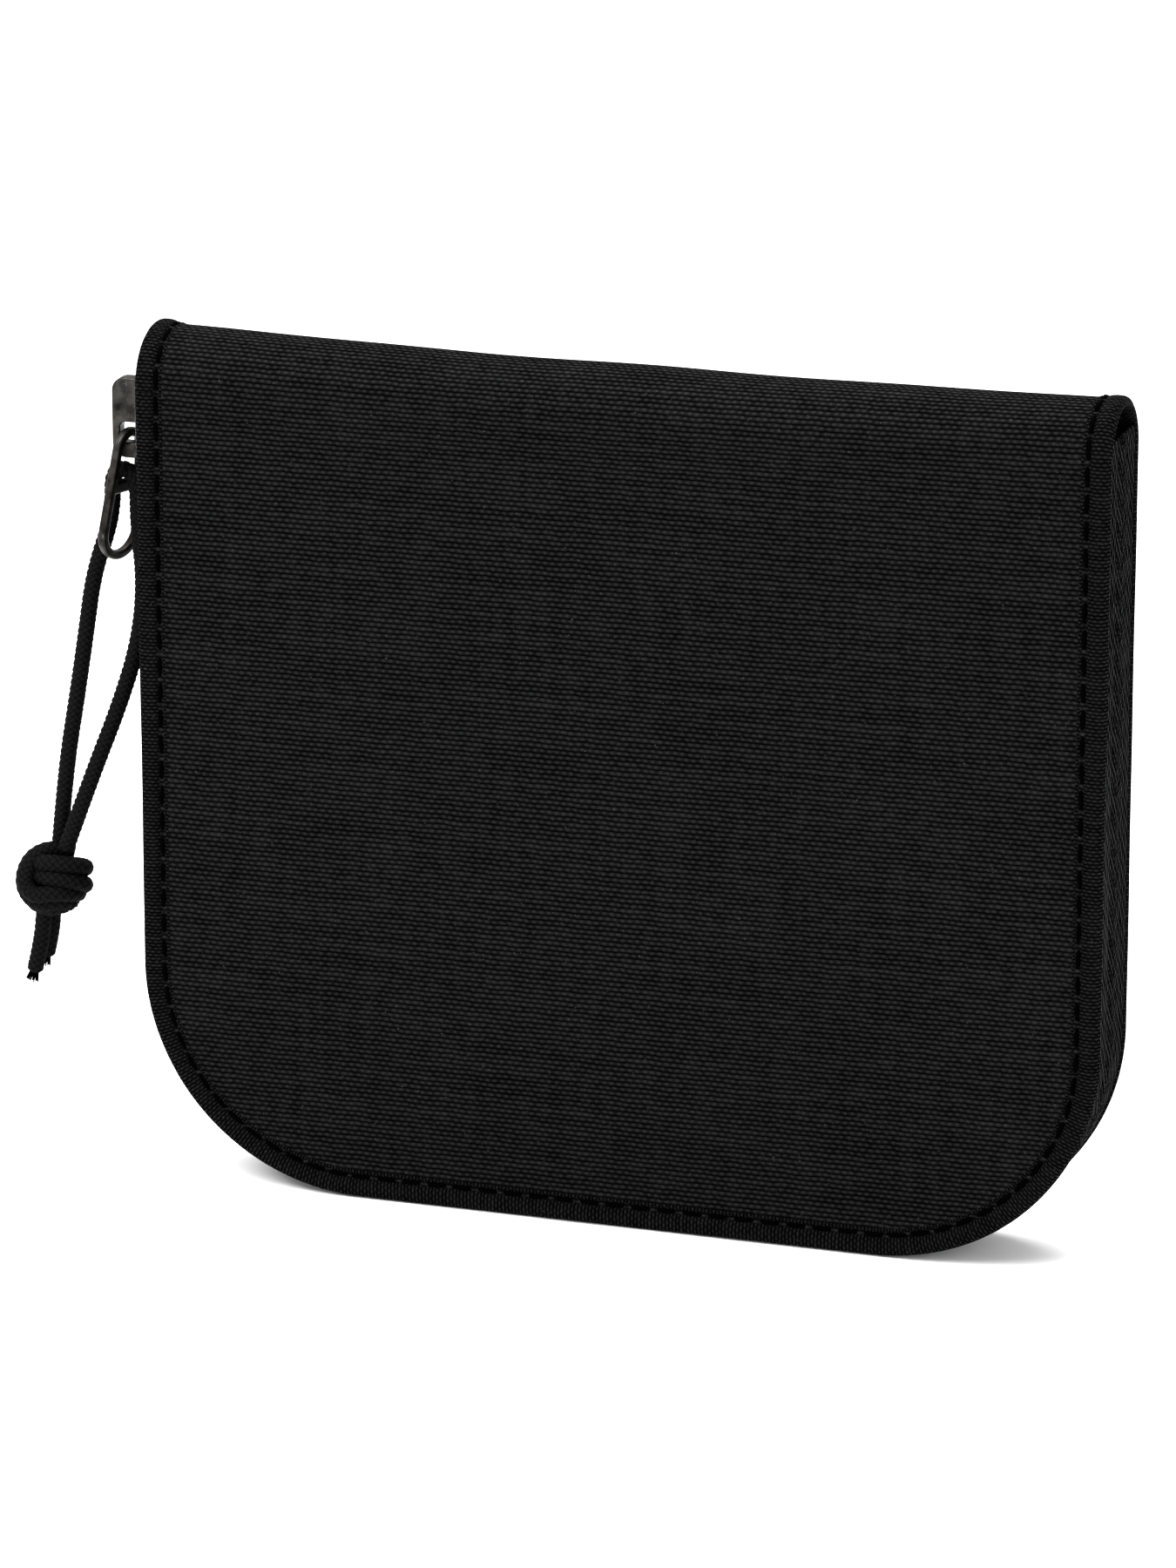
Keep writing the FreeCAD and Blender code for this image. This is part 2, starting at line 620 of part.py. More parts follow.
def main():
    os.makedirs("parts", exist_ok=True)
    made = nodes()
    shift = shift_x(made)
    for name, shape in made.items():
        placed = shape.copy()
        placed.translate(Vector(shift, 0, 0))
        placed.exportStep(f"parts/{name}.step")
        if not placed.isValid():
            print(f"{name} is not valid")
    print(f"shift x {shift:.3f}")
    print(f"pull pivot x {shift - PIVOT_OUT:.3f} z {PIVOT_Z:.3f}")
    print(f"crossbar x {shift - CROSSBAR_OUT:.3f} z {CROSSBAR_Z:.3f}")
    print(f"slider foot z {SLIDER_FOOT:.3f}, travel {SLIDE_TRAVEL:.2f}")
    print(f"coin zip travel {COIN_WIDTH - 2 * (COIN_WALL + COIN_PLAY) - COIN_SLIDER[0]:.2f}")


main()
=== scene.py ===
"""A zip-round fabric wallet: a woven shell folded over a round spine, bound and top-stitched edges, a coil zip
behind its tapes, a metal slider with a teardrop pull, and a braided cord with a knot. Lengths are in
metres."""
import json
import math

import bmesh
import bpy
import numpy as np
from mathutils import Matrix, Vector


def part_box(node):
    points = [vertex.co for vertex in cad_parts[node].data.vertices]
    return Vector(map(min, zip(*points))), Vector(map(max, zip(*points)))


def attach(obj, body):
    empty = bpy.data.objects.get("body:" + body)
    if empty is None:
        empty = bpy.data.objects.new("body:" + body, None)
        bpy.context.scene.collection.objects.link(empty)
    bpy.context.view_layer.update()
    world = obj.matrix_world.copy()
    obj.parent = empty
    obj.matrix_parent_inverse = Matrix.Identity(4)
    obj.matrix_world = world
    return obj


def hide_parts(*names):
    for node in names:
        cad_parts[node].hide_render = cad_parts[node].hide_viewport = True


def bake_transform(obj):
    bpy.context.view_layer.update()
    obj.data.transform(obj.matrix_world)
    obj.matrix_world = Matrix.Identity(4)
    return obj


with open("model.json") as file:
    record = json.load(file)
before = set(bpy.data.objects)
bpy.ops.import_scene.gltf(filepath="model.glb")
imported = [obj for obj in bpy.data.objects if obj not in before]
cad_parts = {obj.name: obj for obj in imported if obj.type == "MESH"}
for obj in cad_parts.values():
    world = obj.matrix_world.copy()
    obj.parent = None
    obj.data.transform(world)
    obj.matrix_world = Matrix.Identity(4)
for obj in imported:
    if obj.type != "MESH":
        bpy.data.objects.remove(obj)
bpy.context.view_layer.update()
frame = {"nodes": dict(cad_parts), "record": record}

MM = 0.001

# ---- sizes read from the frame
EDGE_LOW, EDGE_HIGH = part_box("binding_back")
MID_X = (EDGE_LOW[0] + EDGE_HIGH[0]) / 2
HALF_W = (EDGE_HIGH[0] - EDGE_LOW[0]) / 2
HALF_T = EDGE_HIGH[1]
HEIGHT = EDGE_HIGH[2]
SPINE_LINE = HEIGHT - HALF_T
SHELL_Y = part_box("shell_back")[1][1]
TAPE_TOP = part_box("zip_tape_back")[1][2]
COIL_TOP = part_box("zip_coil_back")[1][2]
CHAIN_END_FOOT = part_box("zip_chain_end")[0][2]
JOINTS = {joint["name"]: joint for joint in frame["record"]["behaviour"]["joints"]}
CROSSBAR = np.array(JOINTS["cord_swing"]["pos_m"])

# ---- sizes of the sewing and the cloth
CORNER = 30 * MM
BINDING_WIDTH = 4 * MM
SHELL_CLOTH = 0.6 * MM
BINDING_SIDE = 1.3 * MM
SPINE_SAG = 1.0 * MM
STITCH_INSET = 3.0 * MM
STITCH_PITCH = 3.5 * MM
STITCH_LENGTH = 2.9 * MM
THREAD_RADIUS = 0.34 * MM
COIL_PITCH = 1.35 * MM
COIL_WIRE = 0.24 * MM
TAPE_CLOTH = 0.36 * MM
TAPE_INSET = 0.45 * MM
TAPE_SIDE = 6.3 * MM
TAPE_PARTING = 0.25 * MM
PARKED_SIDE = 4.1 * MM
TAPE_RIDGE = 0.09 * MM
TAPE_SLANT = 2.2 * MM
CORD_DIAMETER = 2.1 * MM
CORD_FOLD = 2.1 * MM
CORD_LAY = 5.4 * MM
STRANDS = 6
FRAY_YARNS = 26
GOLDEN_ANGLE = 2.39996
PULL_TWIST = math.radians(18)


# ---------------------------------------------------------------- meshes from arrays


def grid_mesh(name, points, across, along, wrap_across=False, wrap_along=False):
    """A mesh from points[row, column]. Its UV map holds across and along, two arrays of lengths in metres."""
    rows, columns = points.shape[:2]
    row_count = rows if wrap_along else rows - 1
    column_count = columns if wrap_across else columns - 1
    r, c = np.meshgrid(np.arange(row_count), np.arange(column_count), indexing="ij")
    r2, c2 = (r + 1) % rows, (c + 1) % columns
    quads = np.stack([r * columns + c, r * columns + c2, r2 * columns + c2, r2 * columns + c], -1)
    quads = quads.reshape(-1, 4)
    mesh = bpy.data.meshes.new(name)
    mesh.from_pydata(points.reshape(-1, 3).tolist(), [], quads.tolist())
    corner_across = np.stack([r * 0 + c, r * 0 + c + 1, r * 0 + c + 1, r * 0 + c], -1).reshape(-1)
    corner_along = np.stack([r, r, r + 1, r + 1], -1).reshape(-1)
    across, along = extend(across, columns, wrap_across), extend(along, rows, wrap_along)
    uv = np.stack([across[corner_across], along[corner_along]], -1)
    mesh.uv_layers.new(name="UVMap").data.foreach_set("uv", uv.reshape(-1).astype(np.float32))
    mesh.polygons.foreach_set("use_smooth", np.ones(len(quads), bool))
    mesh.update()
    piece = bpy.data.objects.new(name, mesh)
    bpy.context.scene.collection.objects.link(piece)
    return piece


def extend(values, count, wrap):
    """The lengths along one side of a grid, with one more at the end where it closes on itself."""
    values = np.asarray(values, float)
    return np.append(values, 2 * values[-1] - values[-2]) if wrap and len(values) == count else values


def join(name, pieces):
    """One object from several."""
    bpy.ops.object.select_all(action="DESELECT")
    for piece in pieces:
        piece.select_set(True)
    bpy.context.view_layer.objects.active = pieces[0]
    bpy.ops.object.join()
    pieces[0].name = name
    pieces[0].data.name = name
    return pieces[0]


def thicken(piece, thickness, offset=-1.0):
    """Gives a sheet its thickness, inwards by default, and makes it final."""
    solid = piece.modifiers.new("thickness", "SOLIDIFY")
    solid.thickness = thickness
    solid.offset = offset
    solid.use_even_offset = True
    make_final(piece)
    return piece


def make_final(piece):
    """Applies every modifier of a piece."""
    bpy.context.view_layer.update()
    graph = bpy.context.evaluated_depsgraph_get()
    mesh = bpy.data.meshes.new_from_object(piece.evaluated_get(graph))
    piece.modifiers.clear()
    piece.data = mesh


def unit(v):
    """Vectors of length one."""
    return v / np.maximum(np.linalg.norm(v, axis=-1, keepdims=True), 1e-12)


def smoothstep(a, b, v):
    """0 below a, 1 above b, and a smooth rise between."""
    t = np.clip((v - a) / (b - a), 0, 1)
    return t * t * (3 - 2 * t)


def ripple(*terms):
    """A sum of sines: each term is (size, value, phase)."""
    return sum(size * np.sin(value + phase) for size, value, phase in terms)


def lengths(points):
    """How far along a line of points each one is."""
    steps = np.linalg.norm(np.diff(points, axis=0), axis=-1)
    return np.concatenate([[0.0], np.cumsum(steps)])


def tube_frames(points, closed=False):
    """Tangents and two cross directions along a line, turned as little as possible from point to point."""
    if closed:
        tangent = unit(np.roll(points, -1, 0) - np.roll(points, 1, 0))
    else:
        tangent = unit(np.gradient(points, axis=0))
    first = np.cross(tangent[0], [0.0, 1.0, 0.0])
    if np.linalg.norm(first) < 0.1:
        first = np.cross(tangent[0], [1.0, 0.0, 0.0])
    side = np.empty_like(points)
    side[0] = first / np.linalg.norm(first)
    for i in range(1, len(points)):
        side[i] = side[i - 1] - tangent[i] * (side[i - 1] @ tangent[i])
        side[i] /= np.linalg.norm(side[i])
    return tangent, side, np.cross(tangent, side)


def resample(points, step):
    """The same line with points `step` apart."""
    s = lengths(points)
    at = np.linspace(0, s[-1], max(4, int(round(s[-1] / step)) + 1))
    return np.stack([np.interp(at, s, points[:, k]) for k in range(3)], -1)


# ---------------------------------------------------------------- the wallet's outline


def u_outline(s, inset=0.0):
    """Place and inward direction, in the X-Z plane, at distance s along the edge: down the left side, round
    the corner (a quarter circle), along the bottom, round, and up the right side."""
    side, quarter, foot = SPINE_LINE - CORNER, CORNER * math.pi / 2, 2 * (HALF_W - CORNER)
    a = np.clip((s - side) / CORNER, 0, math.pi / 2)
    b = np.clip((s - side - quarter - foot) / CORNER, 0, math.pi / 2)
    down = np.clip(s, 0, side)
    along = np.clip(s - side - quarter, 0, foot)
    up = np.clip(s - side - 2 * quarter - foot, 0, side)
    x = -HALF_W + CORNER * (1 - np.cos(a)) + along + CORNER * np.sin(b)
    z = SPINE_LINE - down - CORNER * np.sin(a) + CORNER * (1 - np.cos(b)) + up
    turn = a + b
    inward = np.stack([np.cos(turn), np.sin(turn)], -1)
    return x + inward[..., 0] * inset, z + inward[..., 1] * inset, inward


U_LENGTH = 2 * (SPINE_LINE - CORNER) + CORNER * math.pi + 2 * (HALF_W - CORNER)
ARCH_LENGTH = math.pi * HALF_T


def edge_loop(s):
    """The wallet's whole edge as one closed line: round the front half, over the right end of the spine, round
    the back half and over the left end. Gives the place, the outward normal and the way into the cloth."""
    s = np.asarray(s) % (2 * (U_LENGTH + ARCH_LENGTH))
    front = s < U_LENGTH
    right = (s >= U_LENGTH) & (s < U_LENGTH + ARCH_LENGTH)
    back = (s >= U_LENGTH + ARCH_LENGTH) & (s < 2 * U_LENGTH + ARCH_LENGTH)
    on_u = np.where(front, s, np.clip(2 * U_LENGTH + ARCH_LENGTH - s, 0, U_LENGTH))
    x, z, inward = u_outline(on_u)
    angle = np.where(right, (s - U_LENGTH) / HALF_T, math.pi - (s - 2 * U_LENGTH - ARCH_LENGTH) / HALF_T)
    flat = front | back
    y_out = np.where(flat, np.where(front, -1.0, 1.0), -np.cos(angle))
    z_out = np.where(flat, 0.0, np.sin(angle))
    x = np.where(flat, x, np.where(right, HALF_W, -HALF_W))
    z = np.where(flat, z, SPINE_LINE + HALF_T * z_out)
    place = np.stack([MID_X + x, HALF_T * y_out, z], -1)
    normal = np.stack([x * 0, y_out, z_out], -1)
    into = np.stack([
        np.where(flat, inward[..., 0], np.where(right, -1.0, 1.0)),
        x * 0,
        np.where(flat, inward[..., 1], 0.0),
    ], -1)
    return place, normal, into


LOOP_LENGTH = 2 * (U_LENGTH + ARCH_LENGTH)
STITCH_COUNT = int(LOOP_LENGTH / STITCH_PITCH)


def half_width(z, inset):
    """Half the width of a panel at height z: its straight side, or its rounded lower corner."""
    radius = CORNER - inset
    drop = np.clip(CORNER - z, 0, radius)
    return HALF_W - CORNER + np.sqrt(np.maximum(radius**2 - drop**2, 0))


def heights(inset, top, count):
    """Heights of a panel's rows: closer together round the lower corners, by a quarter of a cosine."""
    corner = CORNER - (CORNER - inset) * np.cos(np.linspace(0, math.pi / 2, count // 3))
    return np.concatenate([corner, np.linspace(CORNER, top, count - count // 3 + 1)[1:]])


# ---------------------------------------------------------------- cloth pieces


def spine_drop(points):
    """How far the spine's cloth sags: most in the middle of its length, and only near the top."""
    x = (points[..., 0] - MID_X) / HALF_W
    along = np.clip(1 - (x / 0.97) ** 2, 0, 1)
    return SPINE_SAG * along * smoothstep(SPINE_LINE - 8 * MM, HEIGHT, points[..., 2])


def shell_cloth():
    """The outer cloth, from the foot of the front over the spine to the foot of the back. Rows follow the
    profile (up the front, half a circle, down the back), columns go from side to side of the outline. The
    panels swell a little in the middle, and slow ripples keep them from being flat."""
    margin = 0.5 * MM
    rise = heights(margin, SPINE_LINE, 90)
    radius = SHELL_Y
    turn = np.linspace(0, math.pi, 34)[1:-1]
    y = np.concatenate([rise * 0 - radius, -radius * np.cos(turn), rise * 0 + radius])
    z = np.concatenate([rise, SPINE_LINE + radius * np.sin(turn), rise[::-1]])
    normal_y = np.concatenate([rise * 0 - 1, -np.cos(turn), rise * 0 + 1])
    normal_z = np.concatenate([rise * 0, np.sin(turn), rise * 0])
    flank = half_width(rise, margin)
    side = np.concatenate([flank, turn * 0 + HALF_W - margin, flank[::-1]])
    across = np.linspace(-1, 1, 141)
    x = side[:, None] * across[None, :]
    s = lengths(np.stack([y, z], -1))
    fold = s[:, None] + x * 0
    middle = np.clip(1 - across**4, 0, 1)[None, :] * smoothstep(0, 25 * MM, z)[:, None]
    swell = 0.30 * MM * middle
    wander = ripple(
        (0.10 * MM, x / (11 * MM) + 1.3 * np.sin(fold / (17 * MM)), 0.4),
        (0.07 * MM, x / (5.3 * MM) - fold / (9 * MM), 1.9),
        (0.06 * MM, fold / (6.1 * MM) + 0.8 * np.sin(x / (13 * MM)), 0.2),
    )
    lift = (swell + wander * middle)[..., None]
    points = np.stack([MID_X + x, y[:, None] + x * 0, z[:, None] + x * 0], -1)
    points += lift * np.stack([x * 0, normal_y[:, None] + x * 0, normal_z[:, None] + x * 0], -1)
    points[..., 2] -= spine_drop(points)
    piece = grid_mesh("shell_cloth", points, x[60], s)
    set_uv(piece, x, fold)
    thicken(piece, SHELL_CLOTH)
    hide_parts("shell_front", "shell_back")
    dress(piece, shell_material())
    blend_over_spine(piece)
    return piece


def set_uv(piece, across, along):
    """Puts the two arrays, one value per vertex, in the UV map."""
    mesh = piece.data
    corner = np.empty(len(mesh.loops), int)
    mesh.loops.foreach_get("vertex_index", corner)
    uv = np.stack([across.reshape(-1)[corner], along.reshape(-1)[corner]], -1)
    mesh.uv_layers[0].data.foreach_set("uv", uv.reshape(-1).astype(np.float32))


def blend_over_spine(piece):
    """Bakes a piece's placement into its mesh."""
    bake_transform(piece)


def binding():
    """The bound edge: a soft C section carried round the whole edge. The section runs from the cloth, over the
    puffed outer face with its sunk stitch line, round the edge and back inside. The sunk line is deepest
    between two stitches."""
    count = 1960
    s = np.arange(count) * LOOP_LENGTH / count
    place, normal, into = edge_loop(s)
    over = np.linspace(1, 0.07, 18) * BINDING_WIDTH
    puff = 0.30 * MM * np.sin(math.pi * np.clip(over / (2.75 * MM), 0, 1)) ** 0.8
    groove = 0.42 * MM * np.exp(-(((over - STITCH_INSET) / (0.42 * MM)) ** 2))
    pit = 0.35 * MM * np.exp(-(((over - STITCH_INSET) / (0.35 * MM)) ** 2))
    between = (0.5 + 0.5 * np.cos(2 * math.pi * s * STITCH_COUNT / LOOP_LENGTH)) ** 4
    hem = 0.42 * MM * smoothstep(3.6 * MM, 4.0 * MM, over)
    edge_drop = 0.45 * MM * (1 - np.clip(over / (0.9 * MM), 0, 1)) ** 2
    out = puff - groove - hem - edge_drop
    beat = 1 + 0.28 * np.sin(s / (3.1 * MM) + 2 * np.sin(s / (19 * MM))) + 0.2 * np.sin(s / (7.7 * MM))
    wave = ripple(
        (0.10 * MM, s / (8.3 * MM) + 1.5 * np.sin(s / (41 * MM)), 0.0),
        (0.06 * MM, s / (3.9 * MM), 1.0),
    )
    rim = np.linspace(0, 1, 9)[1:-1]
    inner = np.linspace(0.05, 1, 8) * BINDING_WIDTH
    inset = np.concatenate([
        np.tile(over, (count, 1)),
        np.tile(0.02 * MM + 0.25 * MM * (2 * rim - 1) ** 4, (count, 1)) + 0.25 * wave[:, None],
        np.tile(inner, (count, 1)),
    ], 1)
    puffed = np.where(out[None, :] > 0, out[None, :] * beat[:, None], out[None, :])
    height = np.concatenate([
        puffed + 0.5 * np.minimum(wave, 0)[:, None] - between[:, None] * pit[None, :],
        np.tile(-(0.5 * MM + (BINDING_SIDE - 0.75 * MM) * rim), (count, 1)),
        np.tile(0.25 * MM * (1 - np.clip(inner / (0.9 * MM), 0, 1)) ** 2 - BINDING_SIDE, (count, 1)),
    ], 1)
    points = place[:, None] + into[:, None] * inset[..., None] + normal[:, None] * height[..., None]
    section = np.stack([inset[0], height[0]], -1)
    across = np.concatenate([[0.0], np.cumsum(np.linalg.norm(np.diff(section, axis=0), axis=-1))])
    piece = grid_mesh("binding_tape", points, across, s, wrap_across=True, wrap_along=True)
    face_outwards(piece)
    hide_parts("binding_front", "binding_back")
    dress(piece, binding_material())
    blend_over_spine(piece)
    return piece


def face_outwards(piece):
    """Turns a closed mesh's faces outwards, by the sign of its volume."""
    mesh = piece.data
    mesh.calc_loop_triangles()
    co = np.empty(len(mesh.vertices) * 3)
    mesh.vertices.foreach_get("co", co)
    co = co.reshape(-1, 3)
    corners = np.empty(len(mesh.loop_triangles) * 3, int)
    mesh.loop_triangles.foreach_get("vertices", corners)
    a, b, c = co[corners].reshape(-1, 3, 3).transpose(1, 0, 2)
    if np.einsum("ij,ij->i", a, np.cross(b, c)).sum() < 0:
        mesh.flip_normals()


def capsules(name, centres, directions, normals, length, radius, flat=1.0):
    """Many small stitches in one mesh: each is a rounded rod of 6 sides and 5 rings whose ends dip inwards."""
    ring = np.linspace(0, 2 * math.pi, 6, endpoint=False)
    t = np.array([-1.0, -0.82, 0.0, 0.82, 1.0])
    size = np.array([0.25, 0.85, 1.0, 0.85, 0.25])
    dip = np.array([-1.1, -0.35, 0.0, -0.35, -1.1])
    side = np.cross(directions, normals)
    body = (
        centres[:, None, None]
        + directions[:, None, None] * (t * length / 2)[None, :, None, None]
        + normals[:, None, None] * (dip * radius)[None, :, None, None]
        + side[:, None, None] * (size[:, None] * np.cos(ring) * radius)[None, :, :, None]
        + normals[:, None, None] * (size[:, None] * np.sin(ring) * radius * flat)[None, :, :, None]
    )
    count, rings, sides = body.shape[:3]
    base = np.arange(count)[:, None, None] * rings * sides
    r, c = np.meshgrid(np.arange(rings - 1), np.arange(sides), indexing="ij")
    c2 = (c + 1) % sides
    quads = np.stack([r * sides + c, r * sides + c2, (r + 1) * sides + c2, (r + 1) * sides + c], -1)
    quads = quads.reshape(1, -1, 4)
    faces = (quads + base).reshape(-1, 4).tolist()
    caps = np.array([np.arange(sides)[::-1], (rings - 1) * sides + np.arange(sides)])
    faces += (caps[None] + base).reshape(-1, sides).tolist()
    mesh = bpy.data.meshes.new(name)
    mesh.from_pydata(body.reshape(-1, 3).tolist(), [], faces)
    mesh.polygons.foreach_set("use_smooth", np.ones(len(faces), bool))
    mesh.update()
    piece = bpy.data.objects.new(name, mesh)
    bpy.context.scene.collection.objects.link(piece)
    if signed_first_volume(body[0]) < 0:
        mesh.flip_normals()
    return piece


def signed_first_volume(body):
    """Positive when the first stitch's rings run so that its faces look outwards."""
    centre = body.mean((0, 1))
    a, b, c = body[1, 0], body[1, 1], body[2, 1]
    return float(np.dot(np.cross(b - a, c - a), a - centre))


def top_stitching():
    """The row of stitches in the binding's sunk line, all round the edge."""
    s = (np.arange(STITCH_COUNT) + 0.5) * LOOP_LENGTH / STITCH_COUNT
    place, normal, into = edge_loop(s)
    ahead, _, _ = edge_loop(s + 0.5 * MM)
    behind, _, _ = edge_loop(s - 0.5 * MM)
    along = unit(ahead - behind)
    along = unit(along + 0.05 * into * np.sin(s / (2.3 * MM))[:, None])
    centres = place + into * STITCH_INSET - normal * 0.24 * MM
    piece = capsules("top_stitching", centres, along, normal, STITCH_LENGTH, THREAD_RADIUS)
    dress(piece, thread_material())
    blend_over_spine(piece)


# ---------------------------------------------------------------- the zip


def coil(name, half, start, end, body, *replaced):
    """One side of the zip's coil: a flattened helix of round wire that follows the edge from distance start to
    distance end. The helix turns once per pitch; its section is a rounded oblong across the tape's edge."""
    sign = -1.0 if half == "front" else 1.0
    per_turn = 14
    turns = (end - start) / COIL_PITCH
    phase = np.arange(int(turns * per_turn)) * 2 * math.pi / per_turn
    s = start + phase / (2 * math.pi) * COIL_PITCH
    x, z, inward = u_outline(s)
    shift = 0.0 if half == "front" else math.pi
    c, w = np.cos(phase + shift), np.sin(phase + shift)
    reach = np.sign(c) * np.abs(c) ** 0.7
    deep = np.sign(w) * np.abs(w) ** 0.7
    inset = 1.50 * MM + 0.45 * MM * deep
    y = sign * (1.50 * MM - 1.0 * MM * reach)
    line = np.stack([MID_X + x + inward[:, 0] * inset, y, z + inward[:, 1] * inset], -1)
    ring = np.linspace(0, 2 * math.pi, 6, endpoint=False)
    _, side, up = tube_frames(line)
    points = line[:, None] + COIL_WIRE * (
        side[:, None] * np.cos(ring)[None, :, None] + up[:, None] * np.sin(ring)[None, :, None]
    )
    piece = grid_mesh(name, points, ring * COIL_WIRE, s, wrap_across=True)
    close_ends(piece, 6)
    face_outwards(piece)
    if replaced:
        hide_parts(*replaced)
    dress(piece, coil_material())
    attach(piece, body)


def close_ends(piece, sides):
    """Adds a face over each end of a tube."""
    mesh = piece.data
    bm = bmesh.new()
    bm.from_mesh(mesh)
    bm.verts.ensure_lookup_table()
    bm.faces.new([bm.verts[i] for i in range(sides)])
    last = len(bm.verts) - sides
    bm.faces.new([bm.verts[last + i] for i in reversed(range(sides))])
    bmesh.ops.recalc_face_normals(bm, faces=bm.faces)
    bm.to_mesh(mesh)
    bm.free()


def zip_coils():
    """Both halves' coils, and the short stretch of the front one that the parked slider holds."""
    top = SPINE_LINE - COIL_TOP
    chain_foot = SPINE_LINE - CHAIN_END_FOOT
    coil("zip_coil_back_teeth", "back", top, U_LENGTH - top, "back_cover", "zip_coil_back")
    foot = chain_foot + 0.6 * MM
    coil("zip_coil_front_teeth", "front", foot, U_LENGTH - top, "front_cover", "zip_coil_front")
    coil("zip_chain_end_teeth", "front", top + 1 * MM, chain_foot, "back_cover")


def tape_band(name, half, start, end, low, high):
    """Part of one half's zip tape: a band round the edge from distance start to distance end, and from low to
    high out of the wallet's middle plane. Below 0 and past the edge's length it runs on up under the spine.
    Where the coil lies behind it, the turns press through as slanted ridges of height
    TAPE_RIDGE * sin(2 pi (s / COIL_PITCH + y / TAPE_SLANT))."""
    sign = -1.0 if half == "front" else 1.0
    s = np.linspace(start, end, int((end - start) / (0.27 * MM)))[:, None]
    y = np.linspace(low, high, int((high - low) / (0.26 * MM)))[None, :]
    x, z, inward = u_outline(np.clip(s, 0, U_LENGTH))
    z = z + np.maximum(-s, 0) + np.maximum(s - U_LENGTH, 0)
    coil_behind = 1 - smoothstep(2.2 * MM, 3.2 * MM, y)
    ridge = TAPE_RIDGE * np.sin(2 * math.pi * (s / COIL_PITCH + y / TAPE_SLANT)) * coil_behind
    slow = ripple(
        (0.04 * MM, s / (9.1 * MM) + 1.2 * np.sin(s / (31 * MM)), 0.3),
        (0.02 * MM, s / (4.2 * MM), 2.0),
    )
    inset = TAPE_INSET - ridge + slow * (y / TAPE_SIDE)
    across = x + y * 0 + inward[..., 0] * inset
    under_arch = np.sqrt(1 - (np.maximum(z - SPINE_LINE, 0) / TAPE_SIDE) ** 2)
    points = np.stack([MID_X + across, sign * y * under_arch, z + y * 0 + inward[..., 1] * inset], -1)
    piece = grid_mesh(name, points, y[0], s[:, 0])
    set_uv(piece, s + y * 0, s * 0 + sign * y)
    return thicken(piece, TAPE_CLOTH, offset=0.0)


def zip_tapes():
    """Both halves' tapes. The stretch that the parked slider holds is split: its inner part stays with the
    back half."""
    above = TAPE_TOP - SPINE_LINE + 1.3 * MM
    parked = SPINE_LINE - CHAIN_END_FOOT
    split = parked + 0.3 * MM
    back = tape_band("zip_tape_back_band", "back", -above, U_LENGTH + above, TAPE_PARTING, TAPE_SIDE)
    front = join("zip_tape_front_band", [
        tape_band("zip_tape_front_band", "front", split, U_LENGTH + above, TAPE_PARTING, TAPE_SIDE),
        tape_band("zip_tape_front_side", "front", -above, split, PARKED_SIDE, TAPE_SIDE),
    ])
    end = tape_band("zip_chain_end_band", "front", 0.0, parked, TAPE_PARTING, PARKED_SIDE - 0.1 * MM)
    rows = ((back, "back_cover", "zip_tape_back"), (front, "front_cover", "zip_tape_front"),
            (end, "back_cover", "zip_chain_end"))
    for piece, body, node in rows:
        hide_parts(node)
        dress(piece, tape_material())
        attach(piece, body)


# ---------------------------------------------------------------- linings and pockets


def panel(name, half, y, thickness, side_of, foot, top, body, replaced, bow=0.15, rows=60):
    """A cloth panel: a grid between foot and top whose half width at each height is side_of(height), bowed
    a little and rippled, with its two faces `thickness` apart and closed at the edges."""
    sign = -1.0 if half == "front" else 1.0
    z = heights(foot, top, rows) if foot < CORNER / 2 else np.linspace(foot, top, rows)
    side = side_of(z) + z * 0
    across = np.linspace(-1, 1, 81)
    x = side[:, None] * across[None, :]
    tall = np.clip((z - foot) / (top - foot), 0, 1)
    middle = (1 - across**6)[None, :] * np.sin(math.pi * np.clip(tall, 0, 1) ** 0.8)[:, None]
    lift = bow * MM * middle * (0.6 + 0.4 * np.sin(x / (9 * MM) + 2 * np.sin(z / (15 * MM))[:, None]))
    points = np.stack([MID_X + x, sign * (y - lift), z[:, None] + x * 0], -1)
    if sign > 0:
        points = points[:, ::-1]
    piece = grid_mesh(name, points, across, z)
    set_uv(piece, points[..., 0], points[..., 2])
    thicken(piece, thickness, offset=0.0)
    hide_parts(*replaced)
    dress(piece, lining_material())
    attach(piece, body)
    return piece


def middle_y(node):
    """The middle of a node's thickness, as a distance from the wallet's middle plane."""
    low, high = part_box(node)
    return abs(low[1] + high[1]) / 2


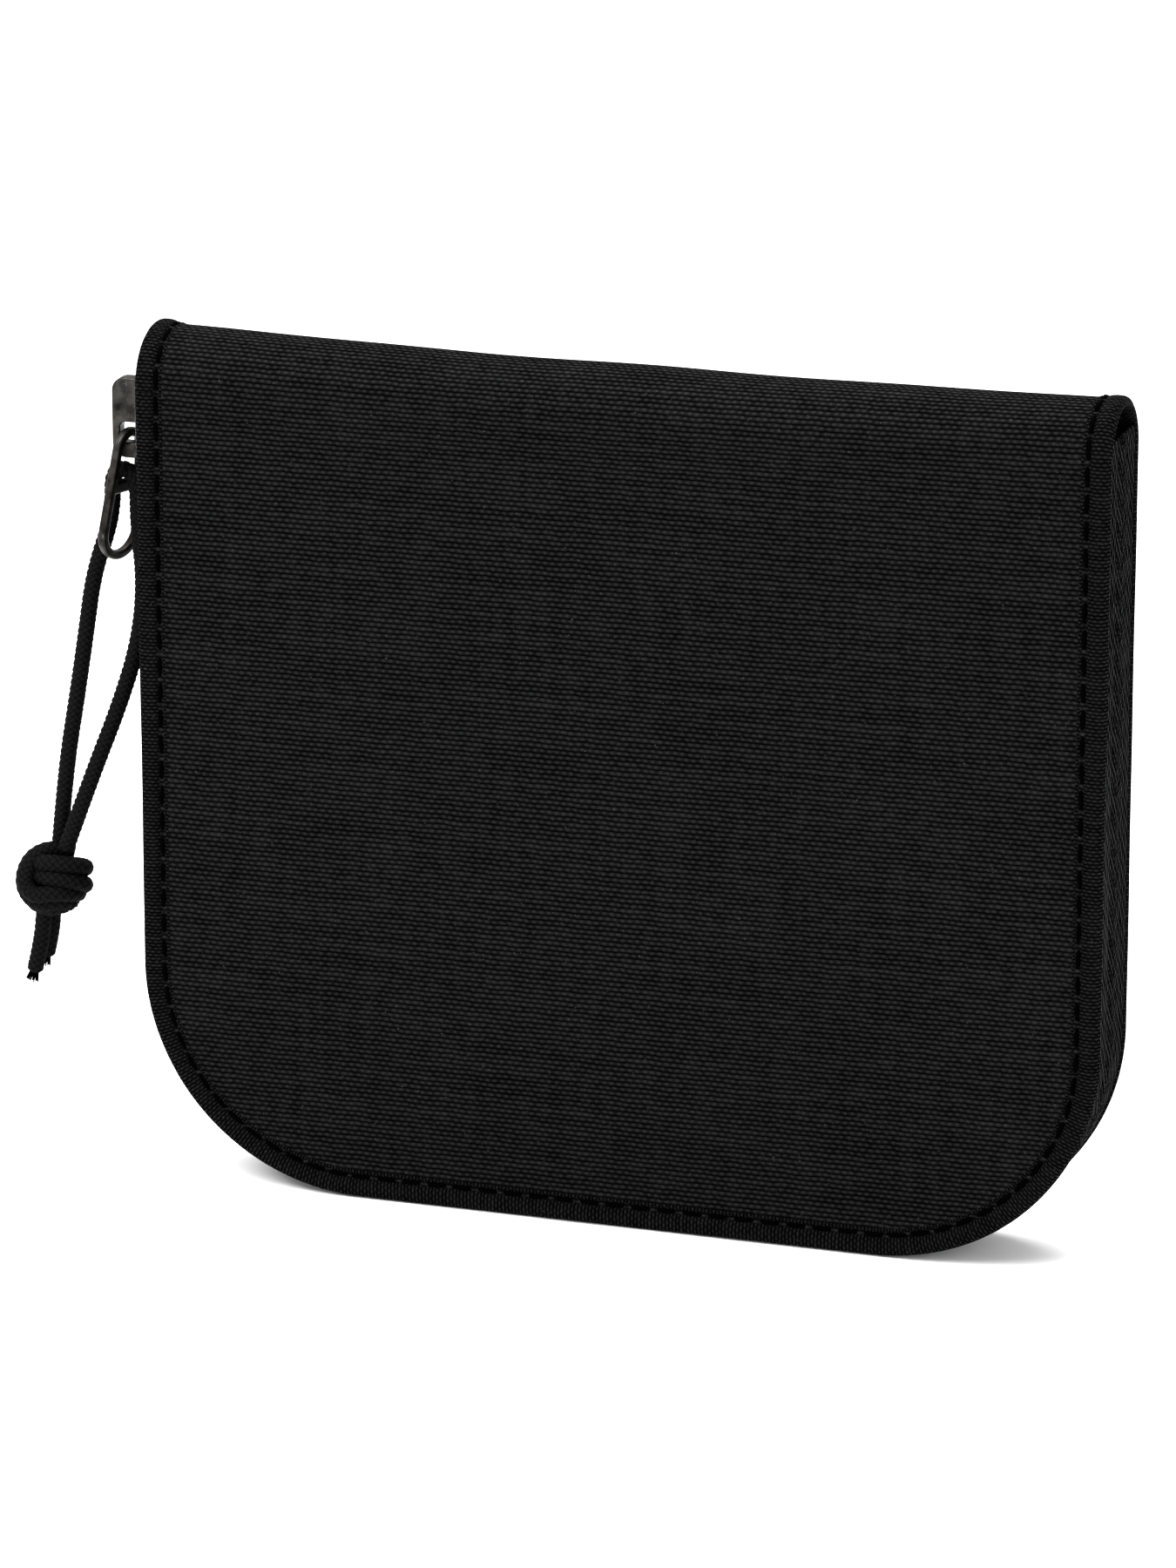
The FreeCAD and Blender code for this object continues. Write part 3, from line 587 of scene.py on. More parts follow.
def top_hem(name, half, y, half_w, z, body, width=3.0, thick=0.42):
    """A folded hem along a pocket's mouth: a flattened tube from side to side, over a row of stitches."""
    sign = -1.0 if half == "front" else 1.0
    x = np.linspace(-half_w, half_w, 90)
    ring = np.linspace(0, 2 * math.pi, 16, endpoint=False)
    tall = np.sign(np.sin(ring)) * np.abs(np.sin(ring)) ** 0.6 * width / 2 * MM
    deep = np.sign(np.cos(ring)) * np.abs(np.cos(ring)) ** 0.6 * thick / 2 * MM
    beat = 1 + 0.12 * np.sin(x / (2.4 * MM) + np.sin(x / (11 * MM)))
    points = np.stack([
        (MID_X + x)[:, None] + ring * 0,
        sign * y + deep[None, :] * beat[:, None],
        z - width / 2 * MM + tall[None, :] + x[:, None] * 0,
    ], -1)
    piece = grid_mesh(name, points, ring * width * MM / 3, x, wrap_across=True)
    close_ends(piece, 16)
    face_outwards(piece)
    dress(piece, binding_material())
    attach(piece, body)
    count = int(2 * (half_w - 1.5 * MM) / (2.6 * MM))
    at = np.linspace(-half_w + 1.5 * MM, half_w - 1.5 * MM, count)
    inner = -sign
    face, low = sign * y + inner * thick / 2 * MM, z - 0.75 * width * MM
    centres = np.stack([MID_X + at, at * 0 + face, at * 0 + low], -1)
    along = np.tile([1.0, 0.0, 0.0], (count, 1))
    out = np.tile([0.0, inner, 0.0], (count, 1))
    stitches = capsules(f"{name}_stitches", centres, along, out, 1.9 * MM, 0.13 * MM)
    dress(stitches, thread_material())
    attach(stitches, body)


def insides():
    """Linings, the note panel, the coin pocket and the card slots."""
    for half, body in (("front", "front_cover"), ("back", "back_cover")):
        node = f"lining_{half}"
        low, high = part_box(node)
        panel(f"lining_cloth_{half}", half, middle_y(node), 0.35 * MM, lambda z: half_width(z, 0.9 * MM),
              0.9 * MM, high[2] - 0.3 * MM, body, [node, f"stiffener_{half}"], bow=0.0)
    low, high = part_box("note_pocket_panel")
    panel("note_panel", "front", middle_y("note_pocket_panel"), 0.28 * MM, lambda z: half_width(z, low[2]),
          low[2], high[2], "front_cover", ["note_pocket_panel"], bow=0.05)
    top_hem("note_panel_hem", "front", middle_y("note_pocket_panel"), half_width(high[2], low[2]), high[2],
            "front_cover", thick=0.5)
    low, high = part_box("card_pocket_backing")
    panel("card_backing", "back", middle_y("card_pocket_backing"), 0.28 * MM, lambda z: half_width(z, low[2]),
          low[2], high[2], "back_cover", ["card_pocket_backing"], bow=0.05)
    top_hem("card_backing_hem", "back", middle_y("card_pocket_backing"), half_width(high[2], low[2]), high[2],
            "back_cover", thick=0.5)
    for index in (1, 2):
        node = f"card_slot_panel_{index}"
        low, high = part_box(node)
        side = (high[0] - low[0]) / 2
        panel(f"card_panel_{index}", "back", middle_y(node), 0.28 * MM, lambda z: side, low[2], high[2],
              "back_cover", [node], bow=0.12)
        top_hem(f"card_panel_{index}_hem", "back", middle_y(node), side, high[2], "back_cover")
    for name in ("lower", "upper"):
        node = f"coin_pocket_{name}_panel"
        low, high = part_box(node)
        side = (high[0] - low[0]) / 2
        panel(f"coin_{name}_panel", "front", middle_y(node), 0.28 * MM, lambda z: side, low[2], high[2],
              "front_cover", [node], bow=0.1)


# ---------------------------------------------------------------- the cord

# The route of each leg below the fold, as (outwards, Y, up) from the middle of the crossbar, in millimetres.
OUTER_LEG_TOP = -4.4
OUTER_LEG = [
    (4.8, 0.5, -12.4),
    (6.0, 0.4, -20.6),
    (7.4, 0.2, -29.6),
    (9.4, 0.7, -39.9),
    (10.6, 1.1, -50.2),
]
INNER_LEG_TOP = -5.2
INNER_LEG = [
    (-2.7, -0.5, -12.6),
    (-1.8, -0.4, -20.8),
    (1.1, -0.3, -29.8),
    (5.2, -0.7, -40.2),
    (8.9, -1.1, -50.5),
]
KNOT_CENTRE = (11.0, 0.0, -54.9)
LONG_TAIL = [(12.4, -0.6, -59.0), (13.9, -0.9, -68.4)]
SHORT_TAIL = [(12.0, 1.6, -59.2), (13.1, 1.5, -66.8)]


def cord_point(point):
    """A place in the frame from one given outwards, along Y and up from the middle of the crossbar."""
    out, y, up = point
    return CROSSBAR + np.array([-out, y, up]) * MM


def fold_point(side, up):
    """A place on the fold over the crossbar: side is along the pull's face normal, in metres."""
    return CROSSBAR + np.array([-side * math.cos(PULL_TWIST), side * math.sin(PULL_TWIST), up])


def nurbs_line(name, controls, resolution=24):
    """The smooth line of a NURBS spline with these control points, read back from a curve with no bevel."""
    data = bpy.data.curves.new(name, "CURVE")
    data.dimensions = "3D"
    data.resolution_u = resolution
    spline = data.splines.new("NURBS")
    spline.points.add(len(controls) - 1)
    spline.points.foreach_set("co", np.array([[*p, 1.0] for p in controls]).reshape(-1))
    spline.order_u = 3
    spline.use_endpoint_u = True
    holder = bpy.data.objects.new(name, data)
    bpy.context.scene.collection.objects.link(holder)
    bpy.context.view_layer.update()
    graph = bpy.context.evaluated_depsgraph_get()
    mesh = bpy.data.meshes.new_from_object(holder.evaluated_get(graph))
    line = np.empty(len(mesh.vertices) * 3)
    mesh.vertices.foreach_get("co", line)
    bpy.data.objects.remove(holder)
    bpy.data.curves.remove(data)
    bpy.data.meshes.remove(mesh)
    return line.reshape(-1, 3)


def braid(name, line, radius=CORD_DIAMETER / 2, ends=(False, False), lay=CORD_LAY):
    """A round braid along a line: a tube whose radius follows two families of strands that wind opposite ways
    and take turns on top, |sin| of the one or the other by the sign of their product. It draws in at a cut
    end."""
    line = resample(line, 0.17 * MM)
    s = lengths(line)
    around = np.linspace(0, 2 * math.pi, 40, endpoint=False)
    _, side, up = tube_frames(line)
    one = STRANDS / 2 * (around[None, :] + 2 * math.pi * s[:, None] / lay)
    other = STRANDS / 2 * (around[None, :] - 2 * math.pi * s[:, None] / lay)
    one, other = np.sin(one), np.sin(other)
    above = smoothstep(-0.35, 0.35, one * other)
    size = radius * (0.88 + 0.20 * (above * np.abs(one) + (1 - above) * np.abs(other)))
    for at_end, distance in ((ends[0], s), (ends[1], s[-1] - s)):
        if at_end:
            size = size * np.sqrt(np.clip(distance / (0.55 * radius), 0.02, 1))[:, None]
    points = line[:, None] + size[..., None] * (
        side[:, None] * np.cos(around)[None, :, None] + up[:, None] * np.sin(around)[None, :, None]
    )
    piece = grid_mesh(name, points, around / (2 * math.pi), s, wrap_across=True)
    close_ends(piece, 40)
    face_outwards(piece)
    dress(piece, cord_material())
    return piece, line


# The knot's strands, as (right, Y, up) from its centre, in millimetres.
KNOT_WRAP = [(1.8, 2.2, 3.0), (-0.4, 1.2, 3.7), (-2.6, -0.5, 3.0), (-3.7, -1.6, 0.9), (-3.4, -2.4, -1.3),
             (-1.4, -3.0, -2.6), (1.0, -2.9, -1.9), (2.7, -1.2, -2.4), (2.2, 1.2, -3.0), (-0.6, 2.2, -2.6)]
KNOT_UPPER = [(-2.4, 0.2, 1.2), (-1.5, -2.0, 2.3), (0.5, -2.9, 2.9), (3.0, -2.4, 2.7), (4.5, -0.6, 2.1),
              (3.9, 1.4, 1.1), (1.6, 2.4, 0.5), (-1.4, 2.4, 0.3)]
KNOT_LOWER = [(-2.2, -0.8, 0.5), (-0.7, -2.7, 0.7), (1.6, -3.0, 0.8), (3.7, -2.0, 0.3), (4.5, -0.1, -0.6),
              (3.3, 1.7, -1.4), (0.6, 2.4, -1.6), (-1.9, 1.9, -1.4)]
KNOT_FOOT = [(-3.6, 0.6, -1.6), (-3.3, -0.9, -3.0), (-1.2, -1.7, -3.9), (1.0, -1.5, -3.7), (2.4, 0.0, -3.2),
             (1.6, 1.5, -3.3), (-0.6, 1.8, -3.4)]
KNOT_CORE = [(-2.0, 0.6, 0.4), (0.0, 0.4, 0.3), (2.0, 0.6, 0.0)]


def strand_line(centre, route, offset=0.0):
    """The smooth line of one of the knot's strands, moved sideways by offset within the knot's surface."""
    line = nurbs_line("strand", [centre + np.array(p) * MM for p in route])
    outward = unit(line - centre)
    return line + unit(np.cross(unit(np.gradient(line, axis=0)), outward)) * offset


def frayed_end(name, last, along):
    """The loose yarns past a cut end: short thin rods that spread from it, turned by the golden angle."""
    index = np.arange(FRAY_YARNS)
    angle = index * GOLDEN_ANGLE
    side = unit(np.cross(along, [0.0, 1.0, 0.0]))
    other = np.cross(along, side)
    around = side[None] * np.cos(angle)[:, None] + other[None] * np.sin(angle)[:, None]
    spread = np.sqrt((index + 0.5) / FRAY_YARNS)[:, None]
    directions = unit(along[None] + 0.35 * spread * around * (1 + 0.5 * np.sin(index * 1.7))[:, None])
    reach = (0.15 + 0.25 * np.sin(index * 2.3) ** 2)[:, None] * MM
    centres = last + around * spread * 0.7 * MM + directions * reach
    return capsules(name, centres, directions, unit(np.cross(directions, along + 0.01)), 1.5 * MM, 0.11 * MM)


def pull_cord():
    """The cord over the pull's crossbar: two legs, the knot in both, and their two cut ends."""
    centre = cord_point(KNOT_CENTRE)
    strands = [(KNOT_WRAP, -1.0 * MM), (KNOT_WRAP, 1.0 * MM)]
    strands += [(route, 0.0) for route in (KNOT_UPPER, KNOT_LOWER, KNOT_FOOT)]
    knot = [
        braid(f"cord_knot_strand_{index}", strand_line(centre, route, offset), CORD_DIAMETER / 2 * 1.02)[0]
        for index, (route, offset) in enumerate(strands)
    ]
    knot.append(braid("cord_knot_core", strand_line(centre, KNOT_CORE), 2.2 * MM)[0])
    knot = join("cord_knot_wraps", knot)
    tails = []
    for name, ends in (("long", LONG_TAIL), ("short", SHORT_TAIL)):
        first, last = cord_point(ends[0]), cord_point(ends[1])
        into = first + (centre - first) * 0.6
        bow = (first + last) / 2 + np.array([0.35, 0.2, 0.0]) * MM
        line = nurbs_line("tail", [into, first, bow, last])
        tail, line = braid(f"cord_tail_{name}_end", line, ends=(False, True))
        fray = frayed_end(f"cord_tail_{name}_fray", line[-1], unit(line[-1] - line[-8]))
        dress(fray, thread_material())
        tail = join(f"cord_tail_{name}_end", [tail, fray])
        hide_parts(f"cord_tail_{name}")
        tails.append(tail)
    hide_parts("cord_knot")
    for piece in [knot] + tails:
        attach(piece, "pull_cord")
    legs = (("outer", 1, OUTER_LEG_TOP, OUTER_LEG), ("inner", -1, INNER_LEG_TOP, INNER_LEG))
    for name, side, top, route in legs:
        across = side * CORD_FOLD
        controls = [fold_point(0, CORD_FOLD), fold_point(across, CORD_FOLD), fold_point(across, top * MM)]
        controls += [cord_point(p) for p in route]
        leg, line = braid(f"cord_leg_{name}", nurbs_line("leg", controls))
        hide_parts(f"cord_{name}_leg")
        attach(leg, "pull_cord")


# ---------------------------------------------------------------- shader building


def add(tree, kind, inputs=(), **settings):
    """A shader node with its settings, and its inputs linked or set."""
    node = tree.nodes.new(kind)
    for key, value in settings.items():
        setattr(node, key, value)
    for key, value in dict(inputs).items():
        if isinstance(value, bpy.types.NodeSocket):
            tree.links.new(value, node.inputs[key])
        else:
            node.inputs[key].default_value = value
    return node


def math_node(tree, operation, a, b=0.0, c=0.5):
    """The result of a Math node; c counts only in MULTIPLY_ADD."""
    return add(tree, "ShaderNodeMath", {0: a, 1: b, 2: c}, operation=operation).outputs[0]


def fade(tree, value, start, end, low=0.0, high=1.0):
    """The value carried from the range start to end into the range low to high, and held there."""
    places = {"Value": value, "From Min": start, "From Max": end, "To Min": low, "To Max": high}
    return add(tree, "ShaderNodeMapRange", places).outputs["Result"]


def ramp(tree, factor, low, high, at=(0.0, 1.0)):
    """A colour between two, by a factor."""
    node = add(tree, "ShaderNodeValToRGB", {"Fac": factor})
    for element, place, colour in zip(node.color_ramp.elements, at, (low, high)):
        element.position = place
        element.color = (*colour, 1)
    return node.outputs["Color"]


def group(name, inputs, outputs, build):
    """A shader node group, made once. build(tree, sockets in) returns the sockets out."""
    if name in bpy.data.node_groups:
        return bpy.data.node_groups[name]
    tree = bpy.data.node_groups.new(name, "ShaderNodeTree")
    for label, kind, value in inputs:
        socket = tree.interface.new_socket(name=label, in_out="INPUT", socket_type=kind)
        if value is not None:
            socket.default_value = value
    for label, kind in outputs:
        tree.interface.new_socket(name=label, in_out="OUTPUT", socket_type=kind)
    source = tree.nodes.new("NodeGroupInput")
    sink = tree.nodes.new("NodeGroupOutput")
    for label, socket in build(tree, source.outputs).items():
        tree.links.new(socket, sink.inputs[label])
    return tree


FLOAT, VECTOR = "NodeSocketFloat", "NodeSocketVector"


def weave_group():
    """Plain weave: rounded rows whose threads dip under every second column, each float a little lighter or
    darker, single threads that are thicker or thinner along their length, fine fibres and a few bright
    specks. The colour also follows the relief, lighter on the thread crowns and darker in the dips between
    threads, which is painted shade. Coordinates and pitches are in metres."""

    def build(tree, given):
        split = add(tree, "ShaderNodeSeparateXYZ", {0: given["Vector"]})
        wobble = add(tree, "ShaderNodeTexNoise", {"Vector": given["Vector"], "Scale": 330.0, "Detail": 2.0})
        push = math_node(tree, "MULTIPLY", math_node(tree, "SUBTRACT", wobble.outputs["Fac"], 0.5), 0.5)
        u = math_node(tree, "ADD", math_node(tree, "DIVIDE", split.outputs[0], given["Column Pitch"]), push)
        v = math_node(tree, "ADD", math_node(tree, "DIVIDE", split.outputs[1], given["Row Pitch"]), push)
        row, column = math_node(tree, "FLOOR", v), math_node(tree, "FLOOR", u)
        rib = math_node(tree, "ABSOLUTE", math_node(tree, "SINE", math_node(tree, "MULTIPLY", v, math.pi)))
        step = math_node(tree, "MULTIPLY", math_node(tree, "ADD", u, row), math.pi)
        over = math_node(tree, "MULTIPLY_ADD", math_node(tree, "COSINE", step), 0.5, 0.5)
        height = math_node(tree, "MULTIPLY", rib, math_node(tree, "MULTIPLY_ADD", over, 0.55, 0.45))
        row_seed = add(tree, "ShaderNodeCombineXYZ", {0: math_node(tree, "MULTIPLY", u, 0.021),
                                                      1: math_node(tree, "MULTIPLY", row, 0.737)})
        column_seed = add(tree, "ShaderNodeCombineXYZ", {0: math_node(tree, "MULTIPLY", column, 0.713),
                                                         1: math_node(tree, "MULTIPLY", v, 0.021)})
        rows = add(tree, "ShaderNodeTexNoise", {"Vector": row_seed.outputs[0], "Scale": 1.0, "Detail": 1.0})
        thread = {"Vector": column_seed.outputs[0], "Scale": 1.0, "Detail": 1.0}
        columns = add(tree, "ShaderNodeTexNoise", thread)
        slub = math_node(tree, "MULTIPLY_ADD", columns.outputs["Fac"], 0.6, rows.outputs["Fac"])
        slub = math_node(tree, "SUBTRACT", slub, 0.8)
        fibre = add(tree, "ShaderNodeTexNoise", {"Vector": given["Vector"], "Scale": 5200.0, "Detail": 2.0})
        grain = math_node(tree, "SUBTRACT", fibre.outputs["Fac"], 0.5)
        speck = add(tree, "ShaderNodeTexNoise", {"Vector": given["Vector"], "Scale": 2300.0, "Detail": 1.0})
        speck = fade(tree, speck.outputs["Fac"], 0.72, 0.80)
        relief = math_node(tree, "MULTIPLY_ADD", slub, 0.25, height)
        relief = math_node(tree, "MULTIPLY_ADD", grain, 0.35, relief)
        # Colour value: mostly the relief height, so the thread crowns are lighter and the dips and row gaps
        # darker, which is painted shade; the slubs, fibres and per-float variation are the threads' own
        # colour.
        shaded_tone = math_node(tree, "MULTIPLY_ADD", slub, 0.3, math_node(tree, "MULTIPLY", height, 0.85))
        shaded_tone = math_node(tree, "MULTIPLY_ADD", grain, 0.5, shaded_tone)
        pair = math_node(tree, "MULTIPLY", math_node(tree, "ADD", u, row), 0.5)
        cell = add(tree, "ShaderNodeCombineXYZ", {0: math_node(tree, "FLOOR", pair), 1: row})
        cell = add(tree, "ShaderNodeTexWhiteNoise", {"Vector": cell.outputs[0]})
        uneven = math_node(tree, "SUBTRACT", cell.outputs["Value"], 0.5)
        shaded_tone = math_node(tree, "MULTIPLY_ADD", uneven, 0.14, shaded_tone)
        return {"Height": relief, "Shaded Tone": shaded_tone, "Speck": speck}

    inputs = [("Vector", VECTOR, None), ("Row Pitch", FLOAT, 0.0007), ("Column Pitch", FLOAT, 0.0005)]
    return group("Plain weave", inputs, [("Height", FLOAT), ("Shaded Tone", FLOAT), ("Speck", FLOAT)], build)


def scuff_group():
    """Worn metal: fine scratches two ways and broad tarnish."""

    def build(tree, given):
        stretched = add(tree, "ShaderNodeMapping", {"Vector": given["Vector"], "Scale": (900.0, 900.0, 5200.0),
                                                    "Rotation": (0.5, 0.3, 0.2)})
        fine = add(tree, "ShaderNodeTexNoise", {"Vector": stretched.outputs[0], "Scale": 1.0, "Detail": 4.0})
        crossed = add(tree, "ShaderNodeMapping", {"Vector": given["Vector"], "Scale": (4200.0, 800.0, 700.0),
                                                  "Rotation": (0.1, 0.7, 0.9)})
        second = add(tree, "ShaderNodeTexNoise", {"Vector": crossed.outputs[0], "Scale": 1.0, "Detail": 3.0})
        broad = add(tree, "ShaderNodeTexNoise", {"Vector": given["Vector"], "Scale": 620.0, "Detail": 5.0})
        scratches = math_node(tree, "MAXIMUM", fine.outputs["Fac"], second.outputs["Fac"])
        return {"Scratches": scratches, "Tarnish": broad.outputs["Fac"]}

    results = [("Scratches", FLOAT), ("Tarnish", FLOAT)]
    return group("Scuffed metal", [("Vector", VECTOR, None)], results, build)


def new_material(name):
    """A material with its tree and its Principled shader."""
    material = bpy.data.materials.new(name)
    material.use_nodes = True
    return material, material.node_tree, material.node_tree.nodes["Principled BSDF"]


def dress(piece, material):
    """Gives every face of a piece one material."""
    piece.data.materials.clear()
    piece.data.materials.append(material)


MADE = {}


def cloth(name, dark, light, row, column, strength, coordinate="UV", shine=0.1, speck=(0.04, 0.04, 0.04)):
    """A woven cloth: the weave sets its colour, roughness and relief."""
    if name in MADE:
        return MADE[name]
    material, tree, shader = new_material(name)
    weave = tree.nodes.new("ShaderNodeGroup")
    weave.node_tree = weave_group()
    tree.links.new(add(tree, "ShaderNodeTexCoord").outputs[coordinate], weave.inputs["Vector"])
    weave.inputs["Row Pitch"].default_value = row
    weave.inputs["Column Pitch"].default_value = column
    # The thread colour carries the weave's painted shade: darker in the dips between threads, lighter on the
    # crowns.
    thread = ramp(tree, weave.outputs["Shaded Tone"], dark, light, (0.05, 1.0))
    colour = add(tree, "ShaderNodeMix", {"Factor": weave.outputs["Speck"]}, data_type="RGBA")
    tree.links.new(thread, colour.inputs[6])
    colour.inputs[7].default_value = (*speck, 1)
    roughness = fade(tree, weave.outputs["Shaded Tone"], 0.0, 1.0, 0.95, 0.62)
    relief = {"Height": weave.outputs["Height"], "Strength": strength, "Distance": 0.0005}
    bump = add(tree, "ShaderNodeBump", relief)
    tree.links.new(colour.outputs[2], shader.inputs["Base Color"])
    tree.links.new(roughness, shader.inputs["Roughness"])
    tree.links.new(bump.outputs["Normal"], shader.inputs["Normal"])
    sheen = fade(tree, weave.outputs["Shaded Tone"], 0.3, 1.0, 0.0, shine)
    tree.links.new(sheen, shader.inputs["Specular IOR Level"])
    MADE[name] = material
    return material


def shell_material():
    """The panels' cloth."""
    dark, light = (0.0008, 0.0008, 0.0009), (0.0135, 0.0135, 0.0138)
    return cloth("shell weave", dark, light, 0.68 * MM, 0.50 * MM, 1.0)


def binding_material():
    """The turned edge and the pocket hems, of a finer cloth."""
    dark, light = (0.0005, 0.0005, 0.0006), (0.0095, 0.0095, 0.0098)
    return cloth("binding weave", dark, light, 0.48 * MM, 0.42 * MM, 1.0)


def lining_material():
    """The thin cloth of the linings and pockets."""
    dark, light = (0.002, 0.002, 0.0022), (0.016, 0.016, 0.017)
    return cloth("lining weave", dark, light, 0.34 * MM, 0.34 * MM, 0.6)


def seam_material():
    """The lining's cloth on pieces that have no UV map."""
    dark, light = (0.002, 0.002, 0.0022), (0.016, 0.016, 0.017)
    return cloth("seam weave", dark, light, 0.34 * MM, 0.34 * MM, 0.6, "Object")


def tape_material():
    """The coarse band of the main zip."""
    dark, light = (0.0, 0.0, 0.0), (0.0042, 0.0042, 0.0045)
    return cloth("tape weave", dark, light, 0.75 * MM, 1.0 * MM, 1.0)


def coin_tape_material():
    """The narrow tape of the coin pocket's zip."""
    dark, light = (0.0004, 0.0004, 0.0005), (0.009, 0.009, 0.0095)
    return cloth("coin tape weave", dark, light, 0.42 * MM, 0.6 * MM, 0.8, "Object")


def thread_material():
    """Twisted sewing thread."""
    if "thread" in MADE:
        return MADE["thread"]
    material, tree, shader = new_material("sewing thread")
    place = add(tree, "ShaderNodeTexCoord").outputs["Object"]
    wave = add(tree, "ShaderNodeTexNoise", {"Vector": place, "Scale": 3600.0, "Detail": 2.0})
    black = ramp(tree, wave.outputs["Fac"], (0.0, 0.0, 0.0), (0.0005, 0.0005, 0.0006))
    tree.links.new(black, shader.inputs["Base Color"])
    shader.inputs["Roughness"].default_value = 0.8
    shader.inputs["Specular IOR Level"].default_value = 0.005
    bump = add(tree, "ShaderNodeBump", {"Height": wave.outputs["Fac"], "Strength": 0.5, "Distance": 0.0001})
    tree.links.new(bump.outputs["Normal"], shader.inputs["Normal"])
    MADE["thread"] = material
    return material


def coil_material():
    """Black nylon wire, slightly glossy, with patches of dust."""
    if "coil" in MADE:
        return MADE["coil"]
    material, tree, shader = new_material("nylon coil")
    place = add(tree, "ShaderNodeTexCoord").outputs["Object"]
    dust = add(tree, "ShaderNodeTexNoise", {"Vector": place, "Scale": 900.0, "Detail": 4.0})
    nylon = ramp(tree, dust.outputs["Fac"], (0.001, 0.001, 0.0012), (0.008, 0.008, 0.0085), (0.35, 0.75))
    tree.links.new(nylon, shader.inputs["Base Color"])
    tree.links.new(fade(tree, dust.outputs["Fac"], 0.0, 1.0, 0.3, 0.55), shader.inputs["Roughness"])
    shader.inputs["Specular IOR Level"].default_value = 0.3
    MADE["coil"] = material
    return material


def cord_material():
    """Braided polyester: fine yarns along each strand, following the cord's own UV map. The colour is lighter
    on the crown of the strand on top and darker where the strands dip under each other: painted shade.
    """
    if "cord" in MADE:
        return MADE["cord"]
    material, tree, shader = new_material("braided cord")
    place = add(tree, "ShaderNodeTexCoord").outputs["UV"]
    stretch = add(tree, "ShaderNodeMapping", {"Vector": place, "Scale": (42.0, 5200.0, 1.0)})
    yarn = add(tree, "ShaderNodeTexNoise", {"Vector": stretch.outputs[0], "Scale": 1.0, "Detail": 3.0})
    split = add(tree, "ShaderNodeSeparateXYZ", {0: place})
    turn = math_node(tree, "MULTIPLY", split.outputs[0], math.pi * STRANDS)
    rise = math_node(tree, "MULTIPLY", split.outputs[1], math.pi * STRANDS / CORD_LAY)
    one = math_node(tree, "SINE", math_node(tree, "ADD", turn, rise))
    other = math_node(tree, "SINE", math_node(tree, "SUBTRACT", turn, rise))
    above = fade(tree, math_node(tree, "MULTIPLY", one, other), -0.35, 0.35)
    below = math_node(tree, "SUBTRACT", 1.0, above)
    strand = math_node(tree, "ADD", math_node(tree, "MULTIPLY", above, math_node(tree, "ABSOLUTE", one)),
                       math_node(tree, "MULTIPLY", below, math_node(tree, "ABSOLUTE", other)))
    # Colour value: the braid's relief, so the top strand's crown is lighter and the dips between strands
    # darker, which is painted shade; the yarn noise is the cord's own variation.
    shaded_tone = math_node(tree, "MULTIPLY_ADD", strand, 0.55, math_node(tree, "MULTIPLY", yarn.outputs["Fac"], 0.7))
    tree.links.new(ramp(tree, shaded_tone, (0.0, 0.0, 0.0), (0.0048, 0.0048, 0.005), (0.42, 1.0)),
                   shader.inputs["Base Color"])
    shader.inputs["Roughness"].default_value = 0.75
    bump = add(tree, "ShaderNodeBump", {"Height": yarn.outputs["Fac"], "Strength": 0.6, "Distance": 0.00012})
    tree.links.new(bump.outputs["Normal"], shader.inputs["Normal"])
    shader.inputs["Specular IOR Level"].default_value = 0.04
    MADE["cord"] = material
    return material


def metal_material():
    """Antique nickel: grey metal with tarnish, bright scratches and worn highlights."""
    if "metal" in MADE:
        return MADE["metal"]
    material, tree, shader = new_material("antique nickel")
    place = add(tree, "ShaderNodeTexCoord").outputs["Object"]
    scuff = tree.nodes.new("ShaderNodeGroup")
    scuff.node_tree = scuff_group()
    tree.links.new(place, scuff.inputs["Vector"])
    base = ramp(tree, scuff.outputs["Tarnish"], (0.008, 0.0075, 0.007), (0.050, 0.047, 0.043), (0.32, 0.72))
    bright = fade(tree, scuff.outputs["Scratches"], 0.66, 0.8)
    soft = add(tree, "ShaderNodeBevel", {"Radius": 0.00016}, samples=6)
    face = add(tree, "ShaderNodeNewGeometry")
    same = add(tree, "ShaderNodeVectorMath", {0: soft.outputs["Normal"], 1: face.outputs["Normal"]},
               operation="DOT_PRODUCT")
    worn = math_node(tree, "MULTIPLY", fade(tree, same.outputs["Value"], 0.93, 0.6), scuff.outputs["Tarnish"])
    light = math_node(tree, "MAXIMUM", worn, math_node(tree, "MULTIPLY", bright, 0.4))
    mix = add(tree, "ShaderNodeMix", {"Factor": light}, data_type="RGBA")
    tree.links.new(base, mix.inputs[6])
    mix.inputs[7].default_value = (0.30, 0.29, 0.27, 1)
    tree.links.new(mix.outputs[2], shader.inputs["Base Color"])
    tree.links.new(fade(tree, scuff.outputs["Tarnish"], 0.0, 1.0, 0.55, 0.34), shader.inputs["Roughness"])
    scratched = {"Height": scuff.outputs["Scratches"], "Strength": 0.25, "Distance": 0.00005}
    bump = add(tree, "ShaderNodeBump", scratched)
    tree.links.new(bump.outputs["Normal"], shader.inputs["Normal"])
    shader.inputs["Metallic"].default_value = 1.0
    MADE["metal"] = material
    return material


def dress_frame():
    """Materials for the frame's own pieces that stay."""
    metal = ["slider_body", "slider_bail", "pull_tab", "zip_stops_front", "zip_stops_back", "coin_zip_slider"]
    for name in metal:
        dress(frame["nodes"][name], metal_material())
    dress(frame["nodes"]["coin_zip_tapes"], coin_tape_material())
    dress(frame["nodes"]["coin_zip_coils"], coil_material())
    for name in ("card_slot_seams", "coin_pocket_gusset"):
        dress(frame["nodes"][name], seam_material())


# ---------------------------------------------------------------- stage


